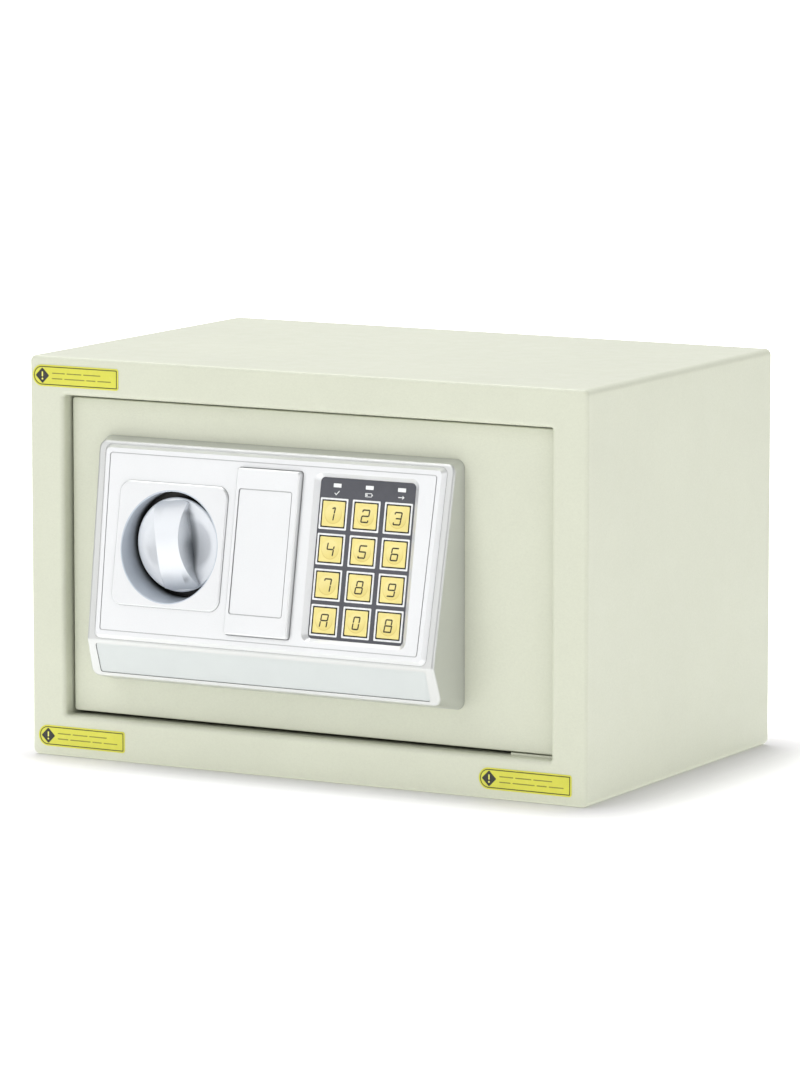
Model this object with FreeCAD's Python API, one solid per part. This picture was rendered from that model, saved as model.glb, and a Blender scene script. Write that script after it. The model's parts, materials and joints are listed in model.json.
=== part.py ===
import FreeCAD, Part
import math
import os
from FreeCAD import Placement, Rotation, Vector

# In-room safe: sheet body, hinged door with a control housing (knob, lock, keypad) on its
# front and the bolt work, batteries and inner cover on its back.
# Millimetres.  X to the right seen from the front, the door faces -Y, Z up.
# Origin: centre of the underside of the body.

# ---------------------------------------------------------------- driving dimensions
WIDTH, DEPTH, HEIGHT = 310.0, 200.0, 200.0
FRONT = -DEPTH / 2                     # front plane of the body
WALL = 2.0                             # body sheet thickness
BEND_R = 3.0                           # outer bend radius, wrap
FRONT_R = 1.8                          # outer edge radius round the front
OPEN_X = 135.8                         # half width of the door opening
OPEN_Z0, OPEN_Z1 = 21.0, 180.9         # door opening, bottom and top
FOLD_R = 2.4                           # fold radius at the opening
LIP_Y = -83.5                          # inner end of the return lip, sides
SILL_Y = -74.0                         # inner end of the return lip, sill and head

DOOR_GAP, DOOR_GAP_LOW = 1.3, 1.7      # gap at sides and top, gap at the bottom
DOOR_X = OPEN_X - DOOR_GAP             # half width of the door plate
DOOR_Z0, DOOR_Z1 = OPEN_Z0 + DOOR_GAP_LOW, OPEN_Z1 - DOOR_GAP
DOOR_Y = -93.0                         # front face of the door plate
DOOR_BACK = DOOR_Y + 4.0
INNER_Y = DOOR_BACK + 0.02             # where the parts behind the door sit
PIVOT_X, PIVOT_Y = 120.0, -84.0        # hinge axis
PIN_R = 3.0
RUN = 0.05                             # radial running clearance

HOUSE_X = -15.1                        # centre of the control housing
HOUSE_HALF, DRAFT = 100.7, 0.16        # half width at its base, side draft per mm of depth
HOUSE_T = 2.2                          # housing thickness
# housing side view: depth from the door, height
PROFILE = [(0.0, 162.0), (7.1, 160.2), (24.79, 63.57), (18.15, 44.7), (0.0, 40.5)]
FACE_TILT = 10.375                     # main face leans back
CHIN_TILT = -19.4                      # chin face leans forward
FASCIA_TOP = 2.2                       # fascia stands this far above the housing face
HOUSE_SCREWS = [(x, z) for x in (-108.0, 75.0) for z in (52.0, 150.0)]
HOUSE_SCREW_R = 1.9

KNOB_X, KNOB_Z = -67.9, 111.5          # knob axis
KNOB_R = 23.4
WELL_R = 27.2                          # round well in the knob bezel
SHAFT_R = 4.0
BUSH_R = 7.0                           # shaft bush in the door
LOCK_X, LOCK_Z = -14.9, 88.0           # override lock axis
LOCK_R, PLUG_R = 9.5, 6.5
WIRE_X, WIRE_Z = 38.1, 80.0            # wire hole in the door
GROMMET_R = 5.0
CRANK_R = 10.6                         # crank radius of the drive pin
CRANK = CRANK_R * math.sin(math.radians(45))
THROW = 2 * CRANK
BOLT_R = 7.0
BOLT_Y = -75.0
BOLT_Z = (KNOB_Z + 38.0, KNOB_Z - 38.0)

os.makedirs("parts", exist_ok=True)


# ---------------------------------------------------------------- solids
def box(x0, x1, y0, y1, z0, z1):
    return Part.makeBox(x1 - x0, y1 - y0, z1 - z0, Vector(x0, y0, z0))


def cyl_x(y, z, radius, x0, x1):
    return Part.makeCylinder(radius, x1 - x0, Vector(x0, y, z), Vector(1, 0, 0))


def cyl_y(x, z, radius, y0, y1):
    return Part.makeCylinder(radius, y1 - y0, Vector(x, y0, z), Vector(0, 1, 0))


def cyl_z(x, y, radius, z0, z1):
    return Part.makeCylinder(radius, z1 - z0, Vector(x, y, z0), Vector(0, 0, 1))


def pivot_cyl(radius, z0, z1):
    return cyl_z(PIVOT_X, PIVOT_Y, radius, z0, z1)


def knob_cyl(radius, y0, y1):
    return cyl_y(KNOB_X, KNOB_Z, radius, y0, y1)


def lock_cyl(radius, y0, y1):
    return cyl_y(LOCK_X, LOCK_Z, radius, y0, y1)


def door_hole(x, z, radius):
    return cyl_y(x, z, radius, DOOR_Y - 2, DOOR_BACK + 2)


def fuse(first, *others):
    return first.fuse(list(others)).removeSplitter()


def cut(shape, *tools):
    return shape.cut(list(tools)).removeSplitter()


# ---------------------------------------------------------------- fillets and edge tests
def fillet(shape, radius, test):
    return shape.makeFillet(radius, [edge for edge in shape.Edges if test(edge)])


def anywhere(centre):
    return True


def along(axis, where=anywhere):
    """straight edges parallel to an axis, whose centre passes the test"""
    index = "xyz".index(axis)

    def test(edge):
        if len(edge.Vertexes) != 2 or not isinstance(edge.Curve, (Part.Line, Part.LineSegment)):
            return False
        span = edge.Vertexes[1].Point - edge.Vertexes[0].Point
        return abs(span[index]) > 0.999 * span.Length and where(edge.CenterOfMass)

    return test


def in_plane_y(y, where=anywhere):
    """edges lying in the plane at y, whose centre passes the test"""

    def test(edge):
        points = [vertex.Point for vertex in edge.Vertexes] + [edge.CenterOfMass]
        return all(abs(point.y - y) < 1e-3 for point in points) and where(edge.CenterOfMass)

    return test


def full_circle(edge):
    return len(edge.Vertexes) < 2


def circle_at(axis, position):
    """full circles whose centre lies at a position on an axis"""
    index = "xyz".index(axis)
    return lambda edge: full_circle(edge) and abs(edge.CenterOfMass[index] - position) < 0.01


# ---------------------------------------------------------------- flat outlines and frames
def rounded_wire(points, radius, z):
    """closed wire through anticlockwise (x, y) points with rounded corners, at height z"""
    count = len(points)
    arcs = []
    for i in range(count):
        corner = Vector(*points[i], z)
        to_last = Vector(*points[i - 1], z) - corner
        to_next = Vector(*points[(i + 1) % count], z) - corner
        to_last.normalize()
        to_next.normalize()
        half_angle = to_last.getAngle(to_next) / 2
        reach = radius / math.tan(half_angle)
        bisector = to_last + to_next
        bisector.normalize()
        middle = corner + bisector * (radius / math.sin(half_angle) - radius)
        arcs.append((corner + to_last * reach, middle, corner + to_next * reach))
    pieces = []
    for i, (start, middle, end) in enumerate(arcs):
        pieces.append(Part.Arc(start, middle, end).toShape())
        pieces.append(Part.LineSegment(end, arcs[(i + 1) % count][0]).toShape())
    return Part.Wire(pieces)


def prism(points, radius, z0, z1):
    return Part.Face(rounded_wire(points, radius, z0)).extrude(Vector(0, 0, z1 - z0))


def taper(points0, radius0, z0, points1, radius1, z1):
    wires = [rounded_wire(points0, radius0, z0), rounded_wire(points1, radius1, z1)]
    return Part.makeLoft(wires, True, True)


def rect(left, right, top, bottom, grow=0.0):
    """rectangle on a sloping face: across to the right, top and bottom down the slope"""
    left, right, top, bottom = left - grow, right + grow, top - grow, bottom + grow
    return [(left, -bottom), (right, -bottom), (right, -top), (left, -top)]


def centred(across, down, half_x, half_y, grow=0.0):
    return rect(across - half_x, across + half_x, down - half_y, down + half_y, grow)


def place(shape, frame):
    out = shape.copy()
    out.Placement = frame.multiply(out.Placement)
    return out


# frames: x right, y up the slope, z out of the face
FACE = Placement(Vector(HOUSE_X, -100.5, 158.0), Rotation(Vector(1, 0, 0), 90 - FACE_TILT))
CHIN = Placement(
    Vector(HOUSE_X, DOOR_Y - PROFILE[2][0], PROFILE[2][1]),
    Rotation(Vector(1, 0, 0), 90 - CHIN_TILT),
)
KNOB_FRAME = Placement(Vector(KNOB_X, DOOR_Y, KNOB_Z), Rotation(Vector(1, 0, 0), 90))


def save(name, shape, solids=1):
    if len(shape.Solids) != solids:
        raise RuntimeError("%s has %d solids, not %d" % (name, len(shape.Solids), solids))
    if not shape.isValid():
        raise RuntimeError(name + " is not valid")
    if solids == 1:
        shape = shape.Solids[0]
    shape.exportStep("parts/%s.step" % name)


def group(*shapes):
    return Part.makeCompound(
        [shape.Solids[0] if shape.ShapeType == "Compound" else shape for shape in shapes]
    )


# ---------------------------------------------------------------- body
FLOOR_HOLES = [(-90.0, 30.0), (90.0, 30.0)]      # x, y
BACK_HOLES = [(-90.0, 130.0), (90.0, 130.0)]     # x, z
FIXING_R = 5.0
HINGE_X = 106.0                        # sill, head and full lip stop here
BACK_FIT = 0.05                        # gap round the back panel

outer = box(-WIDTH / 2, WIDTH / 2, FRONT, DEPTH / 2, 0, HEIGHT)
outer = fillet(outer, BEND_R, along("y"))
outer = fillet(outer, FRONT_R, in_plane_y(FRONT))
inner_x = WIDTH / 2 - WALL
inner = box(-inner_x, inner_x, FRONT + WALL, DEPTH / 2 + 1, WALL, HEIGHT - WALL)
inner = fillet(inner, BEND_R - WALL, along("y"))
body = cut(outer, inner)

hole = box(-OPEN_X, OPEN_X, FRONT - 1, LIP_Y + 1, OPEN_Z0, OPEN_Z1)
hole = fillet(hole, 1.2, along("y"))
lip_x = OPEN_X + WALL
lip = box(-lip_x, lip_x, FRONT + 0.5, LIP_Y, OPEN_Z0 - WALL, OPEN_Z1 + WALL)
lip = fillet(lip, 2.5, along("y"))
sill = box(-OPEN_X + 4, HINGE_X, LIP_Y - 0.5, SILL_Y, OPEN_Z0 - WALL, OPEN_Z0)
head = box(-OPEN_X + 4, HINGE_X, LIP_Y - 0.5, SILL_Y, OPEN_Z1, OPEN_Z1 + WALL)
body = fuse(body, lip)
body = cut(body, hole)
body = fuse(body, sill, head)
# the lip is short beside the hinge, and notched for the hinge tabs
body = cut(
    body,
    box(OPEN_X - 0.8, OPEN_X + 4, -94.5, LIP_Y + 1, OPEN_Z0 - 4, OPEN_Z1 + 4),
    box(HINGE_X, OPEN_X + 4, -88.0, LIP_Y + 1, OPEN_Z0 - 4, OPEN_Z0 + 1),
    box(HINGE_X, OPEN_X + 4, -88.0, LIP_Y + 1, OPEN_Z1 - 1, OPEN_Z1 + 4),
)


def round_opening(centre):
    return abs(centre.x) < OPEN_X + 1 and OPEN_Z0 - 1 < centre.z < OPEN_Z1 + 1


body = fillet(body, FOLD_R, in_plane_y(FRONT, round_opening))
body = cut(body, *[cyl_z(x, y, FIXING_R, -1, WALL + 1) for x, y in FLOOR_HOLES])
save("body_shell", body)

back_x = inner_x - BACK_FIT
back = box(-back_x, back_x, 97.5, 99.5, WALL + BACK_FIT, HEIGHT - WALL - BACK_FIT)
back = fillet(back, BEND_R - WALL, along("y"))
back = cut(back, *[cyl_y(x, z, FIXING_R, 96, 101) for x, z in BACK_HOLES])
save("back_panel", back)

mat = box(-150.5, 150.5, -81, 96.5, WALL + 0.03, WALL + 2.5)
mat = fillet(mat, 3.0, along("z"))
mat = cut(mat, *[cyl_z(x, y, 9.0, 1, 6) for x, y in FLOOR_HOLES])
save("floor_mat", mat)


def label(x0, x1, z0, z1):
    """front sticker: half round at its left end, small corner radii at its right end"""
    radius = (z1 - z0) / 2
    y0, y1 = FRONT - 0.22, FRONT - 0.01
    strip = box(x0 + radius, x1, y0, y1, z0, z1)
    strip = fillet(strip, 1.3, along("y", lambda centre: centre.x > x1 - 0.1))
    return fuse(strip, cyl_y(x0 + radius, (z0 + z1) / 2, radius, y0, y1))


LABELS = [                             # x0, x1, z0, z1
    (-153.1, -103.7, 184.9, 195.6),
    (-151.3, -101.3, 4.6, 15.2),
    (97.2, 147.2, 4.7, 15.3),
]
save("front_labels", group(*[label(*extent) for extent in LABELS]), 3)

# ---------------------------------------------------------------- hinge
BRACKET_X0, BRACKET_X1, BRACKET_Y = 110.3, 134.4, -76.0
BRACKET_BORE = PIN_R + 0.02
LOW_FRONT, LOW_TOP = -93.6, 22.15      # lower bracket
HEAD_Z = OPEN_Z1 + WALL                # top of the opening's head
LOW_PIN_TOP, TOP_PIN_LOW = 31.0, 172.0
LUG_LOW, LUG_TOP = (26.4, 29.4), (173.6, 176.6)
SLEEVE_R = 4.5                         # hinge bush, outside

lower = box(BRACKET_X0, BRACKET_X1, LOW_FRONT, BRACKET_Y, OPEN_Z0 + 0.03, LOW_TOP)
lower = fillet(lower, 2.0, along("z", lambda centre: centre.x < 115))
lower = fillet(lower, 0.4, in_plane_y(LOW_FRONT, lambda centre: centre.z > LOW_TOP - 0.05))
lower = cut(lower, pivot_cyl(BRACKET_BORE, 19, 24))
upper = box(BRACKET_X0, BRACKET_X1, -97.95, BRACKET_Y, HEAD_Z + 0.03, HEAD_Z + WALL)
upper = fillet(upper, 2.0, along("z", lambda centre: centre.y > -80))
upper = cut(upper, pivot_cyl(BRACKET_BORE, 180, 188))
save("hinge_brackets", group(lower, upper), 2)

low_pin = fuse(pivot_cyl(PIN_R, 18.0, LOW_PIN_TOP), pivot_cyl(3.9, 16.8, 18.3))
low_pin = fillet(low_pin, 0.5, circle_at("z", LOW_PIN_TOP))
top_pin = fuse(
    pivot_cyl(PIN_R, TOP_PIN_LOW, 186.4),
    pivot_cyl(5.0, HEAD_Z + WALL + 0.05, HEAD_Z + WALL + 1.7),
)
top_pin = fillet(top_pin, 0.5, circle_at("z", TOP_PIN_LOW))
save("hinge_pins", group(low_pin, top_pin), 2)


def lug(z0, z1):
    ear = box(110, 130, INNER_Y, -77.0, z0, z1)
    ear = fillet(ear, 4.0, along("z", lambda centre: centre.y > -80))
    return cut(ear, pivot_cyl(SLEEVE_R + 0.03, z0 - 1, z1 + 1))


def hinge_bush(z0, z1, flange_z0, flange_z1):
    bush = fuse(pivot_cyl(SLEEVE_R, z0, z1), pivot_cyl(4.95, flange_z0, flange_z1))
    return cut(bush, pivot_cyl(PIN_R + RUN, 0, 200))


save("hinge_lugs", group(lug(*LUG_LOW), lug(*LUG_TOP)), 2)
# the flanges lie below the lower lug and above the upper one
z0, z1 = LUG_LOW
low_bush = hinge_bush(z0 - 1.0, z1, z0 - 1.1, z0 - 0.03)
z0, z1 = LUG_TOP
top_bush = hinge_bush(z0, z1 + 1.0, z1 + 0.03, z1 + 1.1)
save("hinge_bushes", group(low_bush, top_bush), 2)

# ---------------------------------------------------------------- door plate
plate = box(-DOOR_X, DOOR_X, DOOR_Y, DOOR_BACK, DOOR_Z0, DOOR_Z1)
plate = fillet(plate, 1.5, along("y"))
plate = fillet(plate, 0.6, in_plane_y(DOOR_Y))
plate = cut(
    plate,
    door_hole(KNOB_X, KNOB_Z, BUSH_R + 0.03),
    door_hole(LOCK_X, LOCK_Z, LOCK_R + 0.06),
    door_hole(WIRE_X, WIRE_Z, GROMMET_R + 0.05),
    *[door_hole(x, z, 2.1) for x, z in HOUSE_SCREWS]
)
save("door_plate", plate)


# ---------------------------------------------------------------- control housing
def side_outline(profile, half_width, side):
    """profile points on the left (-1) or right (+1) drafted side"""
    return [
        Vector(HOUSE_X + side * (half_width - DRAFT * depth), DOOR_Y - depth, z)
        for depth, z in profile
    ]


def hull(profile, half_width):
    """convex moulding with drafted sides; half width is taken at the door face"""
    left = side_outline(profile, half_width, -1)
    right = side_outline(profile, half_width, 1)
    loops = [left, right]
    for i in range(len(profile)):
        j = (i + 1) % len(profile)
        loops.append([left[i], right[i], right[j], left[j]])
    faces = [Part.Face(Part.makePolygon(loop + [loop[0]])) for loop in loops]
    return Part.Solid(Part.Shell(faces))


def offset_profile(thickness):
    """PROFILE with every side but the back one moved inwards"""
    count = len(PROFILE)
    mid_depth = sum(point[0] for point in PROFILE) / count
    mid_z = sum(point[1] for point in PROFILE) / count
    lines = []
    for i, (depth, z) in enumerate(PROFILE):
        next_depth, next_z = PROFILE[(i + 1) % count]
        run, rise = next_depth - depth, next_z - z
        length = math.hypot(run, rise)
        normal_d, normal_z = -rise / length, run / length
        if (mid_depth - depth) * normal_d + (mid_z - z) * normal_z < 0:
            normal_d, normal_z = -normal_d, -normal_z
        shift = 0.0 if i == count - 1 else thickness
        lines.append((depth + normal_d * shift, z + normal_z * shift, run, rise))
    out = []
    for i, (depth, z, run, rise) in enumerate(lines):
        last_depth, last_z, last_run, last_rise = lines[i - 1]
        cross = last_run * rise - last_rise * run
        step = ((depth - last_depth) * rise - (z - last_z) * run) / cross
        out.append((last_depth + last_run * step, last_z + last_rise * step))
    return out


# the short sloping corners at the top and bottom of both sides
side_corners = []
for side in (-1, 1):
    outline = side_outline(PROFILE, HOUSE_HALF, side)
    side_corners += [(outline[0], outline[1]), (outline[3], outline[4])]


def is_side_corner(edge):
    if len(edge.Vertexes) != 2:
        return False
    start, end = [vertex.Point for vertex in edge.Vertexes]
    return any(
        (start - first).Length < 1e-3 and (end - second).Length < 1e-3
        for pair in side_corners
        for first, second in (pair, pair[::-1])
    )


def clear_of_door(edge):
    points = [vertex.Point for vertex in edge.Vertexes] + [edge.CenterOfMass]
    return all(DOOR_Y - point.y >= 1.0 for point in points)


FASCIA_X_TOP, FASCIA_X_LOW = 95.6, 92.7          # fascia half width, top and bottom
FASCIA_START, FASCIA_END = -0.7, 95.0            # down the slope
WINDOW = (53.3, 47.1)                            # keypad window centre: across, down
WINDOW_IN, WINDOW_OUT = (26.15, 39.15), (28.8, 41.0)       # half sizes, floor and rim
BEZEL = (-83.6, -22.3, 16.5, 77.8)               # left, right, top, bottom
KEY_COVER = (-17.8, 18.2, 6.2, 88.1)             # the same
CHIN_SEAT = (-92.4, 92.4, 1.8, 17.9)             # the same, on the chin face


def fascia_outline(inset):
    slope = (FASCIA_X_TOP - FASCIA_X_LOW) / (FASCIA_END - FASCIA_START)
    top, bottom = FASCIA_START + inset, FASCIA_END - inset
    top_x = FASCIA_X_TOP - inset - slope * (top - FASCIA_START)
    low_x = FASCIA_X_TOP - inset - slope * (bottom - FASCIA_START)
    return [(-low_x, -bottom), (low_x, -bottom), (top_x, -top), (-top_x, -top)]


def face_bores():
    """openings for the knob well and the lock"""
    return [knob_cyl(WELL_R + 2.3, -130, -94), lock_cyl(LOCK_R + 0.4, -130, -94)]


housing = hull(PROFILE, HOUSE_HALF)
housing = fillet(housing, 4.5, is_side_corner)
housing = fillet(housing, 1.5, clear_of_door)
cavity = offset_profile(HOUSE_T)
for i in (0, -1):                      # run the cavity out through the back
    cavity[i] = (cavity[i][0] - 1.0, cavity[i][1])
housing = cut(housing, hull(cavity, HOUSE_HALF - HOUSE_T * 1.02))
housing = cut(housing, box(HOUSE_X - 130, HOUSE_X + 130, DOOR_Y - 0.02, DOOR_Y + 10, 20, 190))
housing = cut(
    housing,
    place(prism(fascia_outline(0.0), 3.4, -0.55, 6.0), FACE),
    place(prism(centred(*WINDOW, 25.3, 38.2), 1.0, -8.0, 1.0), FACE),
    *face_bores()
)
housing = cut(housing, place(prism(rect(*CHIN_SEAT), 1.4, -1.1, 3.0), CHIN))
# screw bosses, trimmed within the wall of the moulding
boss_limit = hull(offset_profile(1.2), HOUSE_HALF - 1.2)
for x, z in HOUSE_SCREWS:
    housing = fuse(housing, cyl_y(x, z, 4.0, -125, DOOR_Y - 0.05).common(boss_limit))
housing = cut(
    housing, *[cyl_y(x, z, HOUSE_SCREW_R + 0.05, -98.5, -92) for x, z in HOUSE_SCREWS]
)
save("control_housing", housing)

# fascia: bevelled plate with an engraved line, the window and two seats
fascia = prism(fascia_outline(0.12), 3.3, -0.5, 0.05)
fascia = fuse(
    fascia, taper(fascia_outline(0.12), 3.3, 0.0, fascia_outline(1.9), 2.0, FASCIA_TOP)
)
engraved_line = cut(
    prism(fascia_outline(4.05), 1.4, FASCIA_TOP - 0.42, FASCIA_TOP + 1),
    prism(fascia_outline(4.5), 1.2, FASCIA_TOP - 0.6, FASCIA_TOP + 2),
)
window_in, window_out = centred(*WINDOW, *WINDOW_IN), centred(*WINDOW, *WINDOW_OUT)
fascia = cut(
    fascia,
    engraved_line,
    taper(window_in, 2.4, 0.3, window_out, 4.0, FASCIA_TOP + 0.01),
    prism(window_in, 2.4, -2, 0.5),
    prism(window_out, 4.0, FASCIA_TOP, FASCIA_TOP + 1),
    prism(rect(*BEZEL, 0.12), 6.1, 0.7, 5),
    prism(rect(*KEY_COVER, 0.12), 1.6, 1.0, 5),
)
fascia = cut(place(fascia, FACE), *face_bores())
save("fascia_plate", fascia)

save("chin_inlay", place(prism(rect(*CHIN_SEAT, -0.15), 1.3, -1.08, -0.4), CHIN))

# knob bezel: raised rounded square with a round well towards the door
BEZEL_TOP = FASCIA_TOP + 1.1
TUBE_FRONT = -125.0
bezel = fuse(
    prism(rect(*BEZEL), 6.0, 0.73, BEZEL_TOP - 0.7),
    taper(rect(*BEZEL), 6.0, BEZEL_TOP - 0.71, rect(*BEZEL, -0.7), 5.3, BEZEL_TOP),
)
bezel = place(bezel, FACE)
tube = knob_cyl(WELL_R + 2.0, TUBE_FRONT, -94.3)
tube = tube.cut(place(prism(rect(-140, 40, -30, 150), 1.0, BEZEL_TOP - 0.9, 40), FACE))
bezel = fuse(bezel, tube)
well_start = Vector(KNOB_X, TUBE_FRONT, KNOB_Z)
well_depth = -95.6 - TUBE_FRONT
well = Part.makeCone(WELL_R, WELL_R - 0.9, well_depth, well_start, Vector(0, 1, 0))
bezel = cut(bezel, well, knob_cyl(8.0, -97, -94))


def is_well_rim(edge):
    if edge.CenterOfMass.y >= -100 or len(edge.Vertexes) > 2:
        return False
    point = edge.Vertexes[0].Point
    off_axis = math.hypot(point.x - KNOB_X, point.z - KNOB_Z)
    return abs(off_axis - WELL_R) < 0.6 and point.y < -105


save("knob_bezel", fillet(bezel, 0.5, is_well_rim))

# key cover: shallow lid with a sunk label field
COVER_TOP = FASCIA_TOP + 3.0
COVER_FIELD = (-15.2, 14.6, 16.6, 78.0)
cover_mid, cover_end = rect(*KEY_COVER, -0.5), rect(*KEY_COVER, -1.1)
cover = fuse(
    taper(rect(*KEY_COVER), 1.5, 1.03, cover_mid, 1.5, COVER_TOP - 0.6),
    taper(cover_mid, 1.5, COVER_TOP - 0.6, cover_end, 1.0, COVER_TOP),
)
border = cut(
    prism(rect(*COVER_FIELD), 1.4, COVER_TOP - 0.75, COVER_TOP + 1),
    prism(rect(*COVER_FIELD, -0.45), 1.0, COVER_TOP - 1, COVER_TOP + 2),
)
cover = cut(cover, prism(rect(*COVER_FIELD), 1.4, COVER_TOP - 0.3, COVER_TOP + 1), border)
cover = place(cover, FACE)
under_top = place(prism(rect(-30, 30, 0, 100), 0.5, -20, COVER_TOP - 1.6), FACE)
cover = cut(cover, lock_cyl(LOCK_R + 0.5, -130, -94).common(under_top))
save("key_cover", cover)

# ---------------------------------------------------------------- keypad, in the face frame
KEY_ACROSS = [35.5 + 17.7 * i for i in range(3)]
KEY_DOWN = [25.5 + 17.2 * i for i in range(4)]
KEY_ROWS = ["123", "456", "789", "a0b"]          # key names, top row first
KEY_HALF, KEY_HOLE_HALF, KEY_FLANGE_HALF = 6.05, 6.6, 6.9
LEDS = [(across + 0.9, 11.7) for across in KEY_ACROSS]
LED_HALF = (2.15, 0.95)
BOARD_TOP = -3.6


def face_disc(across, down, radius, z, height):
    return Part.makeCylinder(radius, height, Vector(across, -down, z))


def key_square(across, down, half, radius, z0, z1):
    return prism(centred(across, down, half, half), radius, z0, z1)


overlay = prism(centred(*WINDOW, *WINDOW_IN, -0.12), 2.3, -0.5, 0.3)
holes = [
    key_square(across, down, KEY_HOLE_HALF, 0.5, -2, 2)
    for across in KEY_ACROSS
    for down in KEY_DOWN
]
holes += [prism(centred(*led, *LED_HALF, 0.1), 0.2, -2, 2) for led in LEDS]
save("keypad_overlay", place(cut(overlay, *holes), FACE))
leds = [prism(centred(*led, *LED_HALF), 0.2, BOARD_TOP + 0.05, 0.22) for led in LEDS]
save("status_leds", place(group(*leds), FACE), 3)


def key_cap(across, down):
    """flanged square cap with a stem, and a shallow round groove on top"""
    rim = centred(across, down, KEY_HALF, KEY_HALF)
    top = centred(across, down, KEY_HALF, KEY_HALF, -0.15)
    cap = fuse(
        prism(rim, 0.5, -0.9, 0.36),
        taper(rim, 0.5, 0.36, top, 0.4, 0.48),
        key_square(across, down, KEY_FLANGE_HALF, 0.8, -1.5, -0.6),
        face_disc(across, down, 2.0, -1.95, 0.5),
    )
    groove = face_disc(across, down, 4.8, 0.42, 0.2)
    return cut(cap, groove.cut(face_disc(across, down, 4.45, 0.3, 0.4)))


switches = []
for row, down in zip(KEY_ROWS, KEY_DOWN):
    for key, across in zip(row, KEY_ACROSS):
        save("key_" + key, place(key_cap(across, down), FACE))
        base = key_square(across, down, 3, 0.3, BOARD_TOP + 0.03, -2.8)
        switches.append(fuse(base, face_disc(across, down, 1.7, -2.85, 0.3)))
save("key_switches", place(group(*switches), FACE), 12)
save("keypad_board", place(prism(centred(*WINDOW, 24.9, 38.9), 1.0, -5.2, BOARD_TOP), FACE))
sounder = fuse(face_disc(68.0, 28.0, 6.0, -8.03, 2.8), face_disc(68.0, 28.0, 4.5, -8.3, 0.3))
save("sounder", place(sounder, FACE))

# ---------------------------------------------------------------- knob, z out from the door
KNOB_LOW, KNOB_RING, ARCH_TOP = 4.4, 10.6, 20.8  # underside, top of the disc, top of the rib
WAIST, WAIST_R = 6.3, 66.0             # rib half width at its middle, radius of its sides
DISH_X, DISH_W, DISH_D = 6.0, 12.8, 3.3          # finger hollows: offset, radius, depth
DISH_R = (DISH_W ** 2 + DISH_D ** 2) / (2 * DISH_D)
KNOB_TURN = 8.0

low_centre, top_centre = Vector(0, 0, KNOB_LOW), Vector(0, 0, KNOB_RING)
edge_low, edge_top = Vector(KNOB_R, 0, 9.4), Vector(KNOB_R - 1.2, 0, KNOB_RING)
knob_outline = Part.Wire([
    Part.makePolygon([low_centre, Vector(20.8, 0, KNOB_LOW), Vector(22.6, 0, 6.2), edge_low]),
    Part.Arc(edge_low, Vector(KNOB_R - 0.35, 0, 10.25), edge_top).toShape(),
    Part.makePolygon([edge_top, top_centre, low_centre]),
])
disc = Part.Face(knob_outline).revolve(Vector(0, 0, 0), Vector(0, 0, 1), 360)
if disc.Volume < 0:                    # the revolve may come out inside out
    disc = Part.Solid(Part.Shell(disc.Faces))

arch_rise = ARCH_TOP - KNOB_RING
arch_r = (22.0 ** 2 + arch_rise ** 2) / (2 * arch_rise)
arch = cyl_x(0, ARCH_TOP - arch_r, arch_r, -15, 15)
rib = cyl_z(0, 0, 22.6, 5.0, 35.0).common(arch).common(box(-12, 12, -30, 30, 6.0, 36.0))
for side in (-1, 1):
    rib = rib.cut(cyl_z(side * (WAIST + WAIST_R), 0, WAIST_R, 0, 40))


def disc_half(side):
    """half of the disc with a spherical finger hollow, its rim softened"""
    x0 = 0 if side > 0 else -30
    half = disc.common(box(x0, x0 + 30, -30, 30, 0, 20))
    dish_centre = Vector(side * DISH_X, 0, KNOB_RING + DISH_R - DISH_D)
    half = half.cut(Part.makeSphere(DISH_R, dish_centre))
    centre = Vector(side * DISH_X, 0, KNOB_RING)

    def is_rim(edge):
        on_rim = all(
            abs((vertex.Point - centre).Length - DISH_W) < 0.02
            and abs(vertex.Point.z - KNOB_RING) < 0.01
            for vertex in edge.Vertexes
        )
        return on_rim and edge.Length > 5 and abs(edge.CenterOfMass.x) > 1

    return fillet(half, 7.0, is_rim)


knob = fuse(disc_half(-1), disc_half(1), rib)
knob = fuse(knob, cyl_z(0, 0, 7.0, 1.0, 5.0))
knob = cut(knob, cyl_z(0, 0, SHAFT_R + 0.02, 0, 15.0))
knob.rotate(Vector(0, 0, 0), Vector(0, 0, 1), KNOB_TURN)
save("knob", place(knob, KNOB_FRAME))

# ---------------------------------------------------------------- knob shaft and crank
shaft = fuse(knob_cyl(SHAFT_R, -107.9, -83.0), knob_cyl(5.2, -83.36, -82.6))
shaft = cut(shaft, knob_cyl(6, -87.4, -86.6).cut(knob_cyl(3.2, -88, -86)))
save("knob_shaft", shaft)
shaft_bush = fuse(knob_cyl(BUSH_R, DOOR_Y, -88.0), knob_cyl(10.0, INNER_Y, -87.6))
save("shaft_bush", cut(shaft_bush, knob_cyl(SHAFT_R + RUN, -95, -85)))
clip = knob_cyl(6.6, -87.34, -86.66).cut(knob_cyl(3.25, -88, -86))
clip = clip.cut(box(KNOB_X - 2.4, KNOB_X + 2.4, -88, -86, KNOB_Z - 10, KNOB_Z))
save("shaft_clip", clip)

CAM_Y0, CAM_Y1 = -86.4, -83.4
PIN_X, PIN_Z = KNOB_X + CRANK, KNOB_Z + CRANK    # drive pin
cam = fuse(knob_cyl(8.0, CAM_Y0, CAM_Y1), cyl_y(PIN_X, PIN_Z, 5.5, CAM_Y0, CAM_Y1))
web = box(-0.01, CRANK_R, 0, CAM_Y1 - CAM_Y0, -5.5, 5.5)
web.rotate(Vector(0, 0, 0), Vector(0, 1, 0), -45)
web.translate(Vector(KNOB_X, CAM_Y0, KNOB_Z))
cam = fuse(cam, web, cyl_y(PIN_X, PIN_Z, 3.0, -84, -77.5))
save("drive_cam", cut(cam, knob_cyl(SHAFT_R + 0.02, -90, -80)))

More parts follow.
